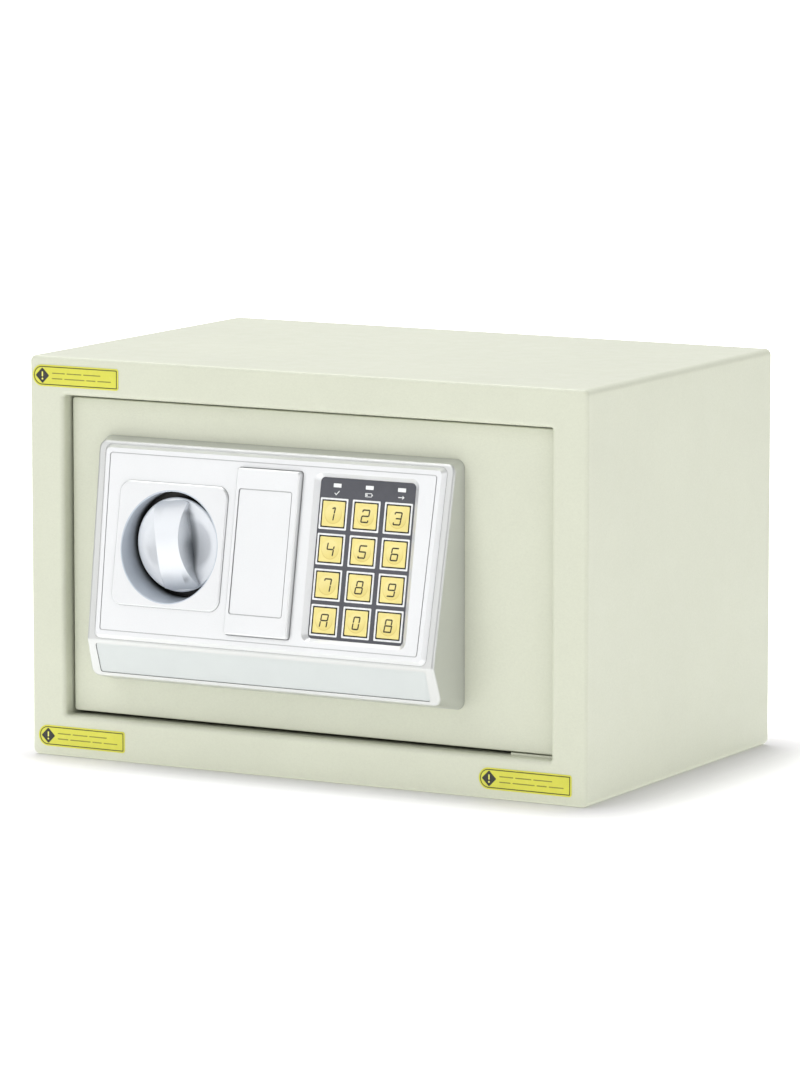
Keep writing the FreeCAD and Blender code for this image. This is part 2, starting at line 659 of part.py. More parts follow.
# ---------------------------------------------------------------- bolt work
CAR_Y0, CAR_Y1 = -82.0, -79.5          # carriage plate
CAR_X0, CAR_X1 = -112.0, -30.0
CAR_Z0, CAR_Z1 = 62.0, 163.0
FLANGE_X = CAR_X0 + 2.5                # right side of the bent flange
CAR_STUDS = [(x, z) for z in (152.0, 71.0) for x in (-98.0, -52.0)]
STUD_R = 3.0
SLOT_HALF = 3.5                        # half width of the crank slot
BOLT_TIP = -129.6
SHANK_R = 4.0


def stud_slot(x, z):
    x0, x1, radius = x - 0.3, x + THROW + 0.3, STUD_R + 0.06
    ends = [cyl_y(end, z, radius, -95, -60) for end in (x0, x1)]
    return fuse(box(x0, x1, -95, -60, z - radius, z + radius), *ends)


def at_bend(centre):
    return abs(centre.x - CAR_X0) < 0.01 and abs(centre.y - CAR_Y0) < 0.01


carriage = fuse(
    box(CAR_X0, CAR_X1, CAR_Y0, CAR_Y1, CAR_Z0, CAR_Z1),
    box(CAR_X0, FLANGE_X, CAR_Y0, -67.0, CAR_Z0, CAR_Z1),
)
carriage = fillet(carriage, 2.2, along("z", at_bend))
for x, z in CAR_STUDS:
    carriage = cut(carriage, stud_slot(x, z))
slot_z0, slot_z1 = PIN_Z - 0.6, KNOB_Z + CRANK_R + 0.6
crank_slot = fuse(
    box(PIN_X - SLOT_HALF, PIN_X + SLOT_HALF, -95, -70, slot_z0, slot_z1),
    *[cyl_y(PIN_X, z, SLOT_HALF, -95, -70) for z in (slot_z0, slot_z1)]
)
carriage = cut(carriage, crank_slot)
for z in reversed(BOLT_Z):
    carriage = cut(
        carriage,
        cyl_x(BOLT_Y, z, SHANK_R + 0.03, CAR_X0 - 1, CAR_X0 + 4),
        box(FLANGE_X, CAR_X0 + 8.2, -84, -76, z - 8.2, z + 8.2),
    )
save("bolt_carriage", carriage)


def bolt(z):
    rod = cyl_x(BOLT_Y, z, BOLT_R, BOLT_TIP, CAR_X0 - 0.05)
    rod = fillet(rod, 1.2, circle_at("x", BOLT_TIP))
    return fuse(rod, cyl_x(BOLT_Y, z, SHANK_R, CAR_X0 - 0.2, CAR_X0 + 8.5))


def hex_points(radius, first_angle):
    """closed hexagon round the origin, as pairs"""
    angles = [math.radians(first_angle + 60 * i) for i in range(7)]
    return [(radius * math.cos(angle), radius * math.sin(angle)) for angle in angles]


def bolt_nut(z):
    outline = [Vector(FLANGE_X + 0.05, BOLT_Y + dy, z + dz) for dy, dz in hex_points(7.5, 0)]
    nut = Part.Face(Part.makePolygon(outline)).extrude(Vector(4.5, 0, 0))
    return cut(nut, cyl_x(BOLT_Y, z, SHANK_R + 0.03, CAR_X0, CAR_X0 + 12))


save("locking_bolts", group(*[bolt(z) for z in BOLT_Z]), 2)
save("bolt_nuts", group(*[bolt_nut(z) for z in BOLT_Z]), 2)

guide = fuse(
    box(-130.5, -128.2, INNER_Y, -66.2, 58, 166),
    box(-130.5, -118.0, INNER_Y, INNER_Y + 1.8, 58, 166),
)
guide = cut(guide, *[cyl_x(BOLT_Y, z, BOLT_R + 0.08, -135, -125) for z in BOLT_Z])
save("bolt_guide", guide)

# ---------------------------------------------------------------- solenoid
# It stands below the carriage: its plunger blocks the carriage from below.
SOL_X, SOL_Y = -36.0, -80.6
SOL_HALF = 11
PLUNGER_TOP = 61.6
SPRING_R, SPRING_PITCH, SPRING_Z, SPRING_WIRE_R = 4.35, 1.62, 52.6, 0.35


def sol_cyl(radius, z0, z1):
    return cyl_z(SOL_X, SOL_Y, radius, z0, z1)


def sol_plate(y1, z0, z1):
    return box(SOL_X - SOL_HALF, SOL_X + SOL_HALF, INNER_Y, y1, z0, z1)


frame = fuse(
    sol_plate(INNER_Y + 1.1, 28, 52), sol_plate(-71.5, 50.5, 52), sol_plate(-71.5, 28, 29.5)
)
save("solenoid_frame", cut(frame, sol_cyl(3.75, 45, 55)))
coil = fuse(
    sol_cyl(6.2, 29.55, 50.45),
    sol_cyl(7.1, 29.55, 31.0),
    sol_cyl(7.1, 49.0, 50.45),
    sol_cyl(6.8, 33.0, 47.0),
)
save("solenoid_coil", cut(coil, sol_cyl(3.56, 34, 55)))
plunger = fuse(sol_cyl(3.5, 39.6, PLUNGER_TOP), sol_cyl(5.6, 58.2, 59.6))
save("solenoid_plunger", fillet(plunger, 0.8, circle_at("z", PLUNGER_TOP)))

# three turns of round wire, each half turn a circular arc tilted up to meet the next
half_turns = []
for i in range(6):
    side = 1 if i % 2 == 0 else -1
    start = Vector(SOL_X + side * SPRING_R, SOL_Y, SPRING_Z + i * SPRING_PITCH / 2)
    end = Vector(SOL_X - side * SPRING_R, SOL_Y, SPRING_Z + (i + 1) * SPRING_PITCH / 2)
    middle = (start + end) * 0.5
    section = Part.Face(Part.Wire(Part.makeCircle(SPRING_WIRE_R, start, Vector(0, 1, 0))))
    axis = (start - middle).cross(Vector(0, side, 0))
    half_turns.append(section.revolve(middle, axis, 180))
save("plunger_spring", half_turns[0].fuse(half_turns[1:]))

# ---------------------------------------------------------------- override lock
CAM_REACH = 17                         # length of the lock cam
save("lock_body", cut(lock_cyl(LOCK_R, -108.5, -78.2), lock_cyl(PLUG_R + RUN, -112, -70)))
nut_y = INNER_Y + 0.01
outline = [Vector(LOCK_X + dx, nut_y, LOCK_Z + dz) for dx, dz in hex_points(13.8, 30)]
nut = Part.Face(Part.makePolygon(outline)).extrude(Vector(0, 3.0, 0))
save("lock_nut", cut(nut, lock_cyl(LOCK_R + 0.03, -95, -70)))
plug = cut(
    lock_cyl(PLUG_R, -108.3, -76.0),
    lock_cyl(3.4, -109, -100).cut(lock_cyl(2.2, -110, -99)),
    box(LOCK_X + 1.9, LOCK_X + 4.4, -109, -100, LOCK_Z - 0.8, LOCK_Z + 0.8),
)
plug = cut(plug, lock_cyl(10, -78.1, -75).cut(lock_cyl(4.0, -79, -74)))
save("lock_plug", plug)
lock_cam = fuse(
    lock_cyl(6.5, -77.9, -76.3),
    box(LOCK_X - 4, LOCK_X + 4, -77.9, -76.3, LOCK_Z, LOCK_Z + CAM_REACH),
    cyl_y(LOCK_X, LOCK_Z + CAM_REACH, 4.0, -77.9, -76.3),
)
save("lock_cam", cut(lock_cam, lock_cyl(4.03, -80, -74)))

# ---------------------------------------------------------------- batteries
BAT_X0, BAT_X1, BAT_Z0, BAT_Z1 = 36.0, 100.0, 92.0, 156.0
CELL_Y, CELL_R = -79.5, 7.1


def battery_block(inset, y0, y1):
    return box(BAT_X0 + inset, BAT_X1 - inset, y0, y1, BAT_Z0 + inset, BAT_Z1 - inset)


battery_box = fillet(battery_block(0.0, INNER_Y, -66.0), 2.0, along("y"))
battery_box = cut(
    battery_box,
    fillet(battery_block(1.6, -87.2, -60), 1.0, along("y")),
    cyl_y(*HOUSE_SCREWS[3], 4.3, -90, -87),
)
save("battery_box", battery_box)


def contact(x, plate_z, cone_z, radius0, radius1, height):
    plate = box(x - 5, x + 5, CELL_Y - 5, CELL_Y + 5, plate_z, plate_z + 0.45)
    return fuse(plate, Part.makeCone(radius0, radius1, height, Vector(x, CELL_Y, cone_z)))


cells, contacts = [], []
for i in range(4):
    x = 45.5 + 15 * i
    nub_up = i % 2 == 0
    can = fillet(cyl_z(x, CELL_Y, CELL_R, 99.4, 148.4), 0.7, full_circle)
    nub_z = 148.3 if nub_up else 98.3
    cells.append(fuse(can, cyl_z(x, CELL_Y, 2.7, nub_z, nub_z + 1.2)))
    # spring contact at the flat end, then button contact at the nub end
    if nub_up:
        contacts.append(contact(x, 93.65, 94.0, 4.6, 2.6, 5.2))
        contacts.append(contact(x, 153.9, 149.55, 2.2, 3.2, 4.4))
    else:
        contacts.append(contact(x, 153.9, 148.5, 2.6, 4.6, 5.4))
        contacts.append(contact(x, 93.65, 94.1, 3.2, 2.2, 4.15))
save("battery_cells", group(*cells), 4)
save("battery_contacts", group(*contacts), 8)

# ---------------------------------------------------------------- reset switch and button
RESET_X, RESET_Z = 60.0, 60.0
BUTTON_END = -62.6


def reset_box(half_x, half_z, y0, y1):
    return box(RESET_X - half_x, RESET_X + half_x, y0, y1, RESET_Z - half_z, RESET_Z + half_z)


def reset_cyl(radius, y0, y1):
    return cyl_y(RESET_X, RESET_Z, radius, y0, y1)


save("reset_switch", fuse(reset_box(9, 8, INNER_Y, -86.4), reset_box(6, 6, -86.5, -71.6)))
button = fuse(
    reset_cyl(3.0, -66.4, BUTTON_END), reset_cyl(4.6, -66.5, -65.35), reset_cyl(1.5, -70.0, -66.2)
)
save("reset_button", fillet(button, 0.6, circle_at("y", BUTTON_END)))

# ---------------------------------------------------------------- inner cover and studs
COVER_T = 1.2
ROOF_OUT = -64.0                       # outer face of the cover, towards the safe's inside
ROOF_IN = ROOF_OUT - COVER_T
COVER_X0, COVER_X1, COVER_Z0, COVER_Z1 = -127.9, 104.0, 26.2, 177.0
PILLARS = [(x, z) for x in (-118.5, 98.0) for z in (169.5, 33.5)]

inner_cover = box(COVER_X0, COVER_X1, INNER_Y + 0.02, ROOF_OUT, COVER_Z0, COVER_Z1)
inner_cover = fillet(inner_cover, 4.0, along("y", lambda centre: centre.x > 0))
inner_cover = fillet(
    inner_cover, 1.0, in_plane_y(ROOF_OUT, lambda centre: centre.x > COVER_X0 + 0.1)
)
# hollow, and open at the bolt side
hollow = box(
    -130, COVER_X1 - COVER_T, INNER_Y - 1, ROOF_IN, COVER_Z0 + COVER_T, COVER_Z1 - COVER_T
)
inner_cover = cut(inner_cover, hollow)
inner_cover = cut(
    inner_cover,
    battery_block(1.5, -66, -63),
    reset_cyl(3.3, -66, -63),
    *[cyl_y(x, z, 1.9, -66, -63) for x, z in PILLARS]
)
save("inner_cover", inner_cover)

BAT_DOOR_Y = ROOF_OUT + 0.3
battery_door = fillet(battery_block(1.7, ROOF_IN - 0.7, BAT_DOOR_Y), 1.5, along("y"))
battery_door = fillet(battery_door, 0.4, in_plane_y(BAT_DOOR_Y))
grooves = []
for i in range(4):
    z = BAT_Z0 + 5.0 + 2.4 * i
    grooves.append(box(BAT_X0 + 22, BAT_X1 - 22, ROOF_OUT - 0.1, ROOF_OUT + 1, z, z + 1.2))
save("battery_door", cut(battery_door, *grooves))

studs = [
    fuse(
        cyl_y(x, z, 5.0, INNER_Y, CAR_Y0 - 0.05),
        cyl_y(x, z, STUD_R, -83, -79.0),
        cyl_y(x, z, 5.4, CAR_Y1 + 0.06, -77.9),
    )
    for x, z in CAR_STUDS
]
studs += [
    cut(cyl_y(x, z, 3.5, INNER_Y, ROOF_IN - 0.05), cyl_y(x, z, 1.55, -76, -64))
    for x, z in PILLARS
]
save("door_studs", group(*studs), 8)


# ---------------------------------------------------------------- screws
def pan_screw(x, z, seat_y, length, radius, head_r, head_h):
    """pan head screw driven towards -Y, with a cross recess"""
    top = seat_y + head_h
    screw = fuse(
        cyl_y(x, z, radius, seat_y - length, seat_y + 0.1), cyl_y(x, z, head_r, seat_y, top)
    )
    screw = fillet(screw, 0.5 * head_h, circle_at("y", top))
    arm = head_r * 0.55
    for angle in (20, 110):
        recess = box(-arm, arm, seat_y + head_h * 0.45, top + 1, -0.35, 0.35)
        recess.rotate(Vector(0, 0, 0), Vector(0, 1, 0), angle)
        recess.translate(Vector(x, 0, z))
        screw = screw.cut(recess)
    return screw.removeSplitter()


def screws(places, *sizes):
    return group(*[pan_screw(x, z, *sizes) for x, z in places])


save("inner_cover_screws", screws(PILLARS, ROOF_OUT + 0.03, 9.0, 1.5, 3.2, 1.4), 4)
save("housing_screws", screws(HOUSE_SCREWS, INNER_Y + 0.02, 9.2, HOUSE_SCREW_R, 3.6, 1.8), 4)

# ---------------------------------------------------------------- wiring
WIRE_R = 0.85
WIRE_PATHS = [                         # x, y, z from the keypad, through the grommet
    [(37.0, -108.6, 80.9), (37.0, -100, 80.9), (37.0, -90, 80.9), (35.5, -85.6, 79.5),
     (30, -85.6, 66), (14, -85.6, 46), (-10, -85.6, 40), (-24.6, -85.6, 40)],
    [(39.2, -108.4, 80.9), (39.2, -100, 80.9), (39.2, -90, 80.9), (37.5, -84.8, 83.5),
     (28.5, -85.2, 90), (28.0, -85.4, 100), (31.0, -85.4, 106), (35.6, -85.4, 108)],
    [(38.1, -109.0, 78.8), (38.1, -100, 78.8), (38.1, -90, 78.8), (38.1, -87.2, 78.5),
     (40.0, -84.8, 75.0), (46, -84.6, 63), (49.5, -84.6, 60.4), (53.4, -84.6, 60)],
]


def wire_cyl(radius, y0, y1):
    return cyl_y(WIRE_X, WIRE_Z, radius, y0, y1)


grommet = fuse(
    wire_cyl(GROMMET_R, -93.6, -88.4), wire_cyl(6.6, -94.4, -93.05), wire_cyl(6.6, INNER_Y, -87.8)
)
save("wire_grommet", cut(grommet, wire_cyl(3.2, -96, -86)))


def wire(points):
    curve = Part.BSplineCurve()
    curve.interpolate([Vector(*point) for point in points])
    tangent = curve.tangent(curve.FirstParameter)[0]
    section = Part.Wire(Part.makeCircle(WIRE_R, Vector(*points[0]), tangent))
    pipe = Part.Wire(curve.toShape()).makePipeShell([section], True, True)
    return Part.Solid(pipe) if pipe.ShapeType == "Shell" else pipe


save("wiring_loom", group(*[wire(points) for points in WIRE_PATHS]), 3)
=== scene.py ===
# A cream steel box. Its door carries a sloping keypad face and a round knob in a bezel.
# The front faces -Y, +X is to the right seen from the front, and the box stands on z = 0.
# Sizes and places are in millimetres unless a comment says metres, Blender's own unit.
import json
import math

import bmesh
import bpy
import numpy as np
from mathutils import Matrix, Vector


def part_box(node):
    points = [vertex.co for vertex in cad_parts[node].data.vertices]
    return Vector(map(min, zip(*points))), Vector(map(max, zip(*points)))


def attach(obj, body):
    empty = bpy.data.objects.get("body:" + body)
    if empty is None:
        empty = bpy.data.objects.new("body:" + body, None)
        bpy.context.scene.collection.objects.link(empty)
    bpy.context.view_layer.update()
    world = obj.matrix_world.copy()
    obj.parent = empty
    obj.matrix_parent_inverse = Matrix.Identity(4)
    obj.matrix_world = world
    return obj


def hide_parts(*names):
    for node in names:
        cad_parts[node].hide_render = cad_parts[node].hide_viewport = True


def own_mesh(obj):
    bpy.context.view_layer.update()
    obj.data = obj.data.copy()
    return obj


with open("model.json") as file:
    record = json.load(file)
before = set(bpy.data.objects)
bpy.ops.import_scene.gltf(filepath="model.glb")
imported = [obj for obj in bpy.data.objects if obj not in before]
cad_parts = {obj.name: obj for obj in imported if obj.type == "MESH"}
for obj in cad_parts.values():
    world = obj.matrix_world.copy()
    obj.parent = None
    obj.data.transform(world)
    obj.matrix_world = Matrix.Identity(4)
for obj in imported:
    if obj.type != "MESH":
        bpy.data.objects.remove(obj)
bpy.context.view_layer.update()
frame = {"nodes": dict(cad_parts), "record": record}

NODES = frame["nodes"]
SCENE = bpy.context.scene

# The keypad face leans back. Its own coordinates run right, down and out from its origin.
TILT = math.radians(10.375)
FACE_ORIGIN = Vector((-15.1, -100.5, 158.0))
FACE_RIGHT = Vector((1, 0, 0))
FACE_DOWN = Vector((0, -math.sin(TILT), -math.cos(TILT)))
FACE_OUT = Vector((0, -math.cos(TILT), math.sin(TILT)))

# key centres on the face
KEY_FIRST = (35.5, 25.5)
KEY_PITCH = (17.7, 17.2)
KEY_COLUMNS = [KEY_FIRST[0] + i * KEY_PITCH[0] for i in range(3)]
KEY_ROWS = [KEY_FIRST[1] + i * KEY_PITCH[1] for i in range(4)]

KNOB_X, KNOB_Z = -67.9, 111.5


def srgb(*levels):
    """display colour 0..255 to linear"""
    parts = [level / 255.0 for level in levels]
    return tuple(c / 12.92 if c <= 0.04045 else ((c + 0.055) / 1.055) ** 2.4 for c in parts)


def scaled(colour, factor):
    return tuple(min(1.0, c * factor) for c in colour)


def add_object(name, data):
    new = bpy.data.objects.new(name, data)
    SCENE.collection.objects.link(new)
    return new


# ------------------------------------------------------------------ node helpers
class Graph:
    """short calls that add nodes to an emptied node tree"""

    def __init__(self, tree):
        self.tree = tree
        tree.nodes.clear()

    def put(self, socket, value):
        """link a socket, or set a plain value"""
        if isinstance(value, bpy.types.NodeSocket):
            self.tree.links.new(value, socket)
        elif socket.type == "RGBA" and len(value) == 3:
            socket.default_value = (*value, 1.0)
        else:
            socket.default_value = value

    def node(self, kind, props=None, **inputs):
        node = self.tree.nodes.new("ShaderNode" + kind)
        for key, value in (props or {}).items():
            setattr(node, key, value)
        for key, value in inputs.items():
            self.put(node.inputs[key.replace("_", " ")], value)
        return node

    def math(self, operation, first, second=0.0, clamp=False):
        node = self.node("Math", {"operation": operation, "use_clamp": clamp})
        self.put(node.inputs[0], first)
        self.put(node.inputs[1], second)
        if operation == "PINGPONG":
            node.inputs[2].default_value = 0.0
        return node.outputs[0]

    def add(self, first, second, clamp=False):
        return self.math("ADD", first, second, clamp)

    def sub(self, first, second):
        return self.math("SUBTRACT", first, second)

    def mul(self, first, second):
        return self.math("MULTIPLY", first, second)

    def invert(self, value):
        return self.sub(1.0, value)

    def hypot(self, first, second):
        return self.math("SQRT", self.add(self.mul(first, first), self.mul(second, second)))

    def xyz(self, vector):
        node = self.node("SeparateXYZ")
        self.put(node.inputs[0], vector)
        return node.outputs[0], node.outputs[1], node.outputs[2]

    def ramp(self, value, span, to=(0.0, 1.0), smooth=True):
        """map the span onto the range `to`, held at both ends"""
        kind = {"interpolation_type": "SMOOTHSTEP" if smooth else "LINEAR"}
        limits = {"From_Min": span[0], "From_Max": span[1], "To_Min": to[0], "To_Max": to[1]}
        return self.node("MapRange", kind, Value=value, **limits).outputs[0]


class Shade(Graph):
    """a Principled material; lengths are in mm in the object's own space"""

    def __init__(self, name):
        self.material = bpy.data.materials.new(name)
        self.material.use_nodes = True
        super().__init__(self.material.node_tree)
        self.surface = self.node("BsdfPrincipled")
        self.node("OutputMaterial", Surface=self.surface.outputs[0])
        scale = self.node("VectorMath", {"operation": "SCALE"}, Scale=1000.0)
        self.put(scale.inputs[0], self.node("TexCoord").outputs["Object"])
        self.place = scale.outputs[0]

    def done(self, **inputs):
        """set the surface's inputs and return the material"""
        for key, value in inputs.items():
            self.put(self.surface.inputs[key.replace("_", " ")], value)
        return self.material

    def vector_math(self, operation, first, second):
        node = self.node("VectorMath", {"operation": operation})
        self.put(node.inputs[0], first)
        self.put(node.inputs[1], tuple(second))
        return node.outputs["Value" if operation == "DOT_PRODUCT" else 0]

    def on_axes(self, *axes):
        """the point's keypad-face coordinates along the given axes"""
        offset = self.vector_math("SUBTRACT", self.place, FACE_ORIGIN)
        return [self.vector_math("DOT_PRODUCT", offset, axis) for axis in axes]

    def stretch(self, scale, turn=(0, 0, 0)):
        return self.node("Mapping", Vector=self.place, Scale=scale, Rotation=turn).outputs[0]

    def noise(self, size, detail=3.0, rough=0.5, vector=None, distort=0.0):
        """smooth noise whose features are about size mm"""
        return self.node(
            "TexNoise", Vector=vector or self.place, Scale=1.0 / size,
            Detail=detail, Roughness=rough, Distortion=distort,
        ).outputs[0]

    def drift(self, size, to, detail=3, rough=0.5):
        """noise spread evenly over the range `to`"""
        return self.ramp(self.noise(size, detail, rough), (0.3, 0.7), to, smooth=False)

    def cells(self, size, feature="F1", vector=None):
        props = {"feature": feature}
        vector = vector or self.place
        return self.node("TexVoronoi", props, Vector=vector, Scale=1.0 / size).outputs[0]

    def mix(self, under, over, fac, amount=None, blend="MIX"):
        """lay one colour over another by fac, or by fac times amount"""
        if amount is not None:
            fac = self.mul(fac, amount)
        node = self.node("Mix", {"data_type": "RGBA", "blend_type": blend})
        # inputs 6 and 7 and output 2 are the node's colour sockets
        for index, value in ((0, fac), (6, under), (7, over)):
            self.put(node.inputs[index], value)
        return node.outputs[2]

    def dim(self, colour, level):
        """multiply a colour by a single value"""
        grey = self.node("CombineColor")
        for i in range(3):
            self.put(grey.inputs[i], level)
        return self.mix(colour, grey.outputs[0], 1.0, blend="MULTIPLY")

    def bump(self, height, depth, strength=1.0):
        """height 0..1 raised by depth mm"""
        return self.node("Bump", Strength=strength, Distance=depth / 1000.0, Height=height).outputs[0]

    def grain(self, size, depth, strength=0.6, detail=2, rough=0.5):
        """a bump of fine noise"""
        return self.bump(self.noise(size, detail, rough), depth, strength)

    def tone(self, base, vary, size, fine, fine_size):
        """a colour with soft broad drift and a fine grain of value"""
        broad = self.ramp(self.noise(size, rough=0.55), span=(0.3, 0.7))
        speck = self.noise(fine_size, detail=2, rough=0.6)
        colour = self.mix(scaled(base, 1 - vary), scaled(base, 1 + vary), broad)
        return self.dim(colour, self.ramp(speck, (0.25, 0.75), (1 - fine, 1 + fine), False))

    def hollow(self, reach, samples=6):
        """1 in the open, falling towards 0 in corners narrower than reach mm"""
        props = {"samples": samples}
        return self.node("AmbientOcclusion", props, Distance=reach / 1000.0).outputs["AO"]

    def scratches(self, size, width):
        """sparse hair lines, 0 or 1"""
        turned = self.stretch((1, 1, 1), turn=(0.7, 1.1, 0.5))
        edges = self.cells(size, "DISTANCE_TO_EDGE", turned)
        lines = self.ramp(edges, span=(0, width), to=(1, 0))
        patches = self.ramp(self.noise(size * 1.7, detail=2), span=(0.54, 0.62))
        return self.mul(lines, patches)


# ------------------------------------------------------------------ materials
def powder(name, base):
    """wrinkled powder coat, with painted shade in its corners and recesses"""
    mat = Shade(name)
    grid = mat.stretch((0.8, 0.8, 1.25))
    wrinkle = mat.noise(size=1.35, detail=4, rough=0.62, vector=grid, distort=0.5)
    relief = mat.add(wrinkle, mat.mul(mat.cells(size=0.75), 0.25))
    colour = mat.tone(base, vary=0.014, size=60, fine=0.022, fine_size=0.9)
    crest = mat.ramp(wrinkle, span=(0.30, 0.62))
    colour = mat.mix(colour, scaled(base, 0.80), mat.invert(crest), amount=0.12)
    # faint, slightly lighter handling marks
    rub = mat.mul(
        mat.ramp(mat.noise(size=38, detail=4, rough=0.6), span=(0.56, 0.74)),
        mat.ramp(mat.noise(size=3.0, rough=0.6), span=(0.40, 0.65)),
    )
    colour = mat.mix(colour, scaled(base, 1.10), rub, amount=0.05)
    # painted shade: ambient occlusion darkens the coat's colour in corners and recesses, such as the
    # door's edge inside its frame
    corner = mat.ramp(mat.hollow(reach=9.0), span=(0.45, 0.95), to=(0.16, 0))
    return mat.done(
        Base_Color=mat.mix(colour, scaled(base, 0.62), corner),
        Roughness=mat.drift(size=9, rough=0.6, to=(0.35, 0.47)),
        IOR=1.47,
        Coat_Weight=0.22,
        Coat_Roughness=0.30,
        Normal=mat.bump(relief, depth=0.085),
    )


def lacquer(name, base, metallic=0.62, rough=0.36, shade=None):
    """fine metallic lacquer with painted shade along its seams; shade(mat, colour) returns a new
    colour with more painted shade, and where it still gleams
    """
    mat = Shade(name)
    colour = mat.tone(base, vary=0.010, size=40, fine=0.035, fine_size=0.24)
    smudge = mat.ramp(mat.noise(size=14, detail=4, rough=0.6), span=(0.42, 0.72))
    fine_rough = mat.drift(size=0.5, detail=2, to=(rough - 0.04, rough + 0.04))
    # painted shade: ambient occlusion darkens the colour along seams and grooves
    painted_seam_shade = mat.ramp(mat.hollow(reach=2.6), span=(0.40, 0.92), to=(0.62, 0))
    colour = mat.mix(colour, scaled(base, 0.42), painted_seam_shade)
    coat = 0.25
    if shade:
        colour, gleam = shade(mat, colour)
        coat = mat.mul(gleam, coat)
        metallic = mat.mul(gleam, metallic)
    return mat.done(
        Base_Color=colour,
        Metallic=metallic,
        Roughness=mat.add(fine_rough, mat.mul(smudge, 0.05)),
        IOR=1.46,
        Coat_Weight=coat,
        Coat_Roughness=0.24,
        Normal=mat.grain(size=0.16, depth=0.007),
    )


def around_knob(mat):
    """x from the knob's axis, y, and the radius from the axis"""
    x, y, z = mat.xyz(mat.place)
    across = mat.sub(x, KNOB_X)
    return across, y, mat.hypot(across, mat.sub(z, KNOB_Z))


def well_shade(mat, colour):
    """the bezel's bore: cool grey at the mouth, with painted shade going almost black at the bottom
    """
    _, y, radius = around_knob(mat)
    bore = mat.ramp(radius, span=(27.35, 27.6), to=(1, 0))
    # painted shade: the bore darkens towards almost black with depth and loses most of its gleam
    painted_bore_shade = mat.ramp(y, span=(-103.0, -97.5))
    colour = mat.mix(colour, srgb(196, 204, 214), bore)
    colour = mat.mix(colour, (0.012, 0.011, 0.010), bore, amount=painted_bore_shade)
    return colour, mat.invert(mat.mul(bore, 0.8))


def knob_shade(mat, colour):
    """painted shade: the knob's skirt below the rim is painted almost black, as if unlit"""
    across, y, radius = around_knob(mat)
    # painted shade: the skirt outside the rim and below the face is painted almost black
    outside = mat.ramp(radius, span=(22.3, 22.9))
    skirt = mat.add(outside, mat.ramp(y, span=(-99.9, -99.2)), clamp=True)
    under = mat.mul(mat.ramp(y, span=(-103.0, -102.2)), skirt)
    # painted shade darkens the hollows along the foot of the grip
    across = mat.math("ABSOLUTE", across)
    painted_foot_shade = mat.mul(
        mat.ramp(across, span=(7.4, 11.2), to=(1, 0.06)),
        mat.ramp(radius, span=(17.0, 20.0), to=(1, 0)),
    )
    painted_foot_shade = mat.mul(painted_foot_shade, mat.ramp(across, span=(5.4, 6.3)))
    hollow = mat.ramp(mat.hollow(reach=14.0, samples=8), span=(0.40, 0.97), to=(1, 0))
    colour = mat.mix(colour, srgb(112, 117, 122), mat.mul(hollow, painted_foot_shade), amount=0.90)
    return mat.mix(colour, (0.014, 0.013, 0.012), under), mat.invert(under)


def plastic(name, base, rough, grain, depth, sheen=0.0, coat=0.0, wear=0.2, vary=0.05):
    mat = Shade(name)
    colour = mat.tone(base, vary, size=25, fine=min(0.05, vary * 1.5), fine_size=grain)
    pale = tuple(min(1, c * 1.5 + 0.03) for c in base)
    return mat.done(
        Base_Color=mat.mix(colour, pale, mat.scratches(size=9.0, width=0.012), amount=wear),
        Roughness=mat.drift(size=6, rough=0.6, to=(rough - 0.07, rough + 0.07)),
        Sheen_Weight=sheen,
        Coat_Weight=coat,
        Normal=mat.grain(grain, depth, strength=0.8, rough=0.6),
    )


def metal(name, base, rough, streak, size, tarnish, depth=0.01):
    """streak: how much longer the brushing runs along x, y and z"""
    mat = Shade(name)
    grid = mat.stretch(tuple(1.0 / k for k in streak))
    brush = mat.noise(size, detail=4, rough=0.65, vector=grid)
    spot = mat.ramp(mat.noise(size=3.5, detail=4, rough=0.65), span=(0.48, 0.78))
    colour = mat.tone(base, vary=0.03, size=18, fine=0.05, fine_size=size)
    brushed = mat.ramp(brush, span=(0.25, 0.75), to=(rough - 0.08, rough + 0.10), smooth=False)
    return mat.done(
        Base_Color=mat.mix(colour, scaled(base, 0.62), spot, amount=tarnish),
        Metallic=1.0,
        Roughness=mat.add(brushed, mat.mul(spot, 0.12)),
        Normal=mat.bump(brush, depth, strength=0.7),
    )


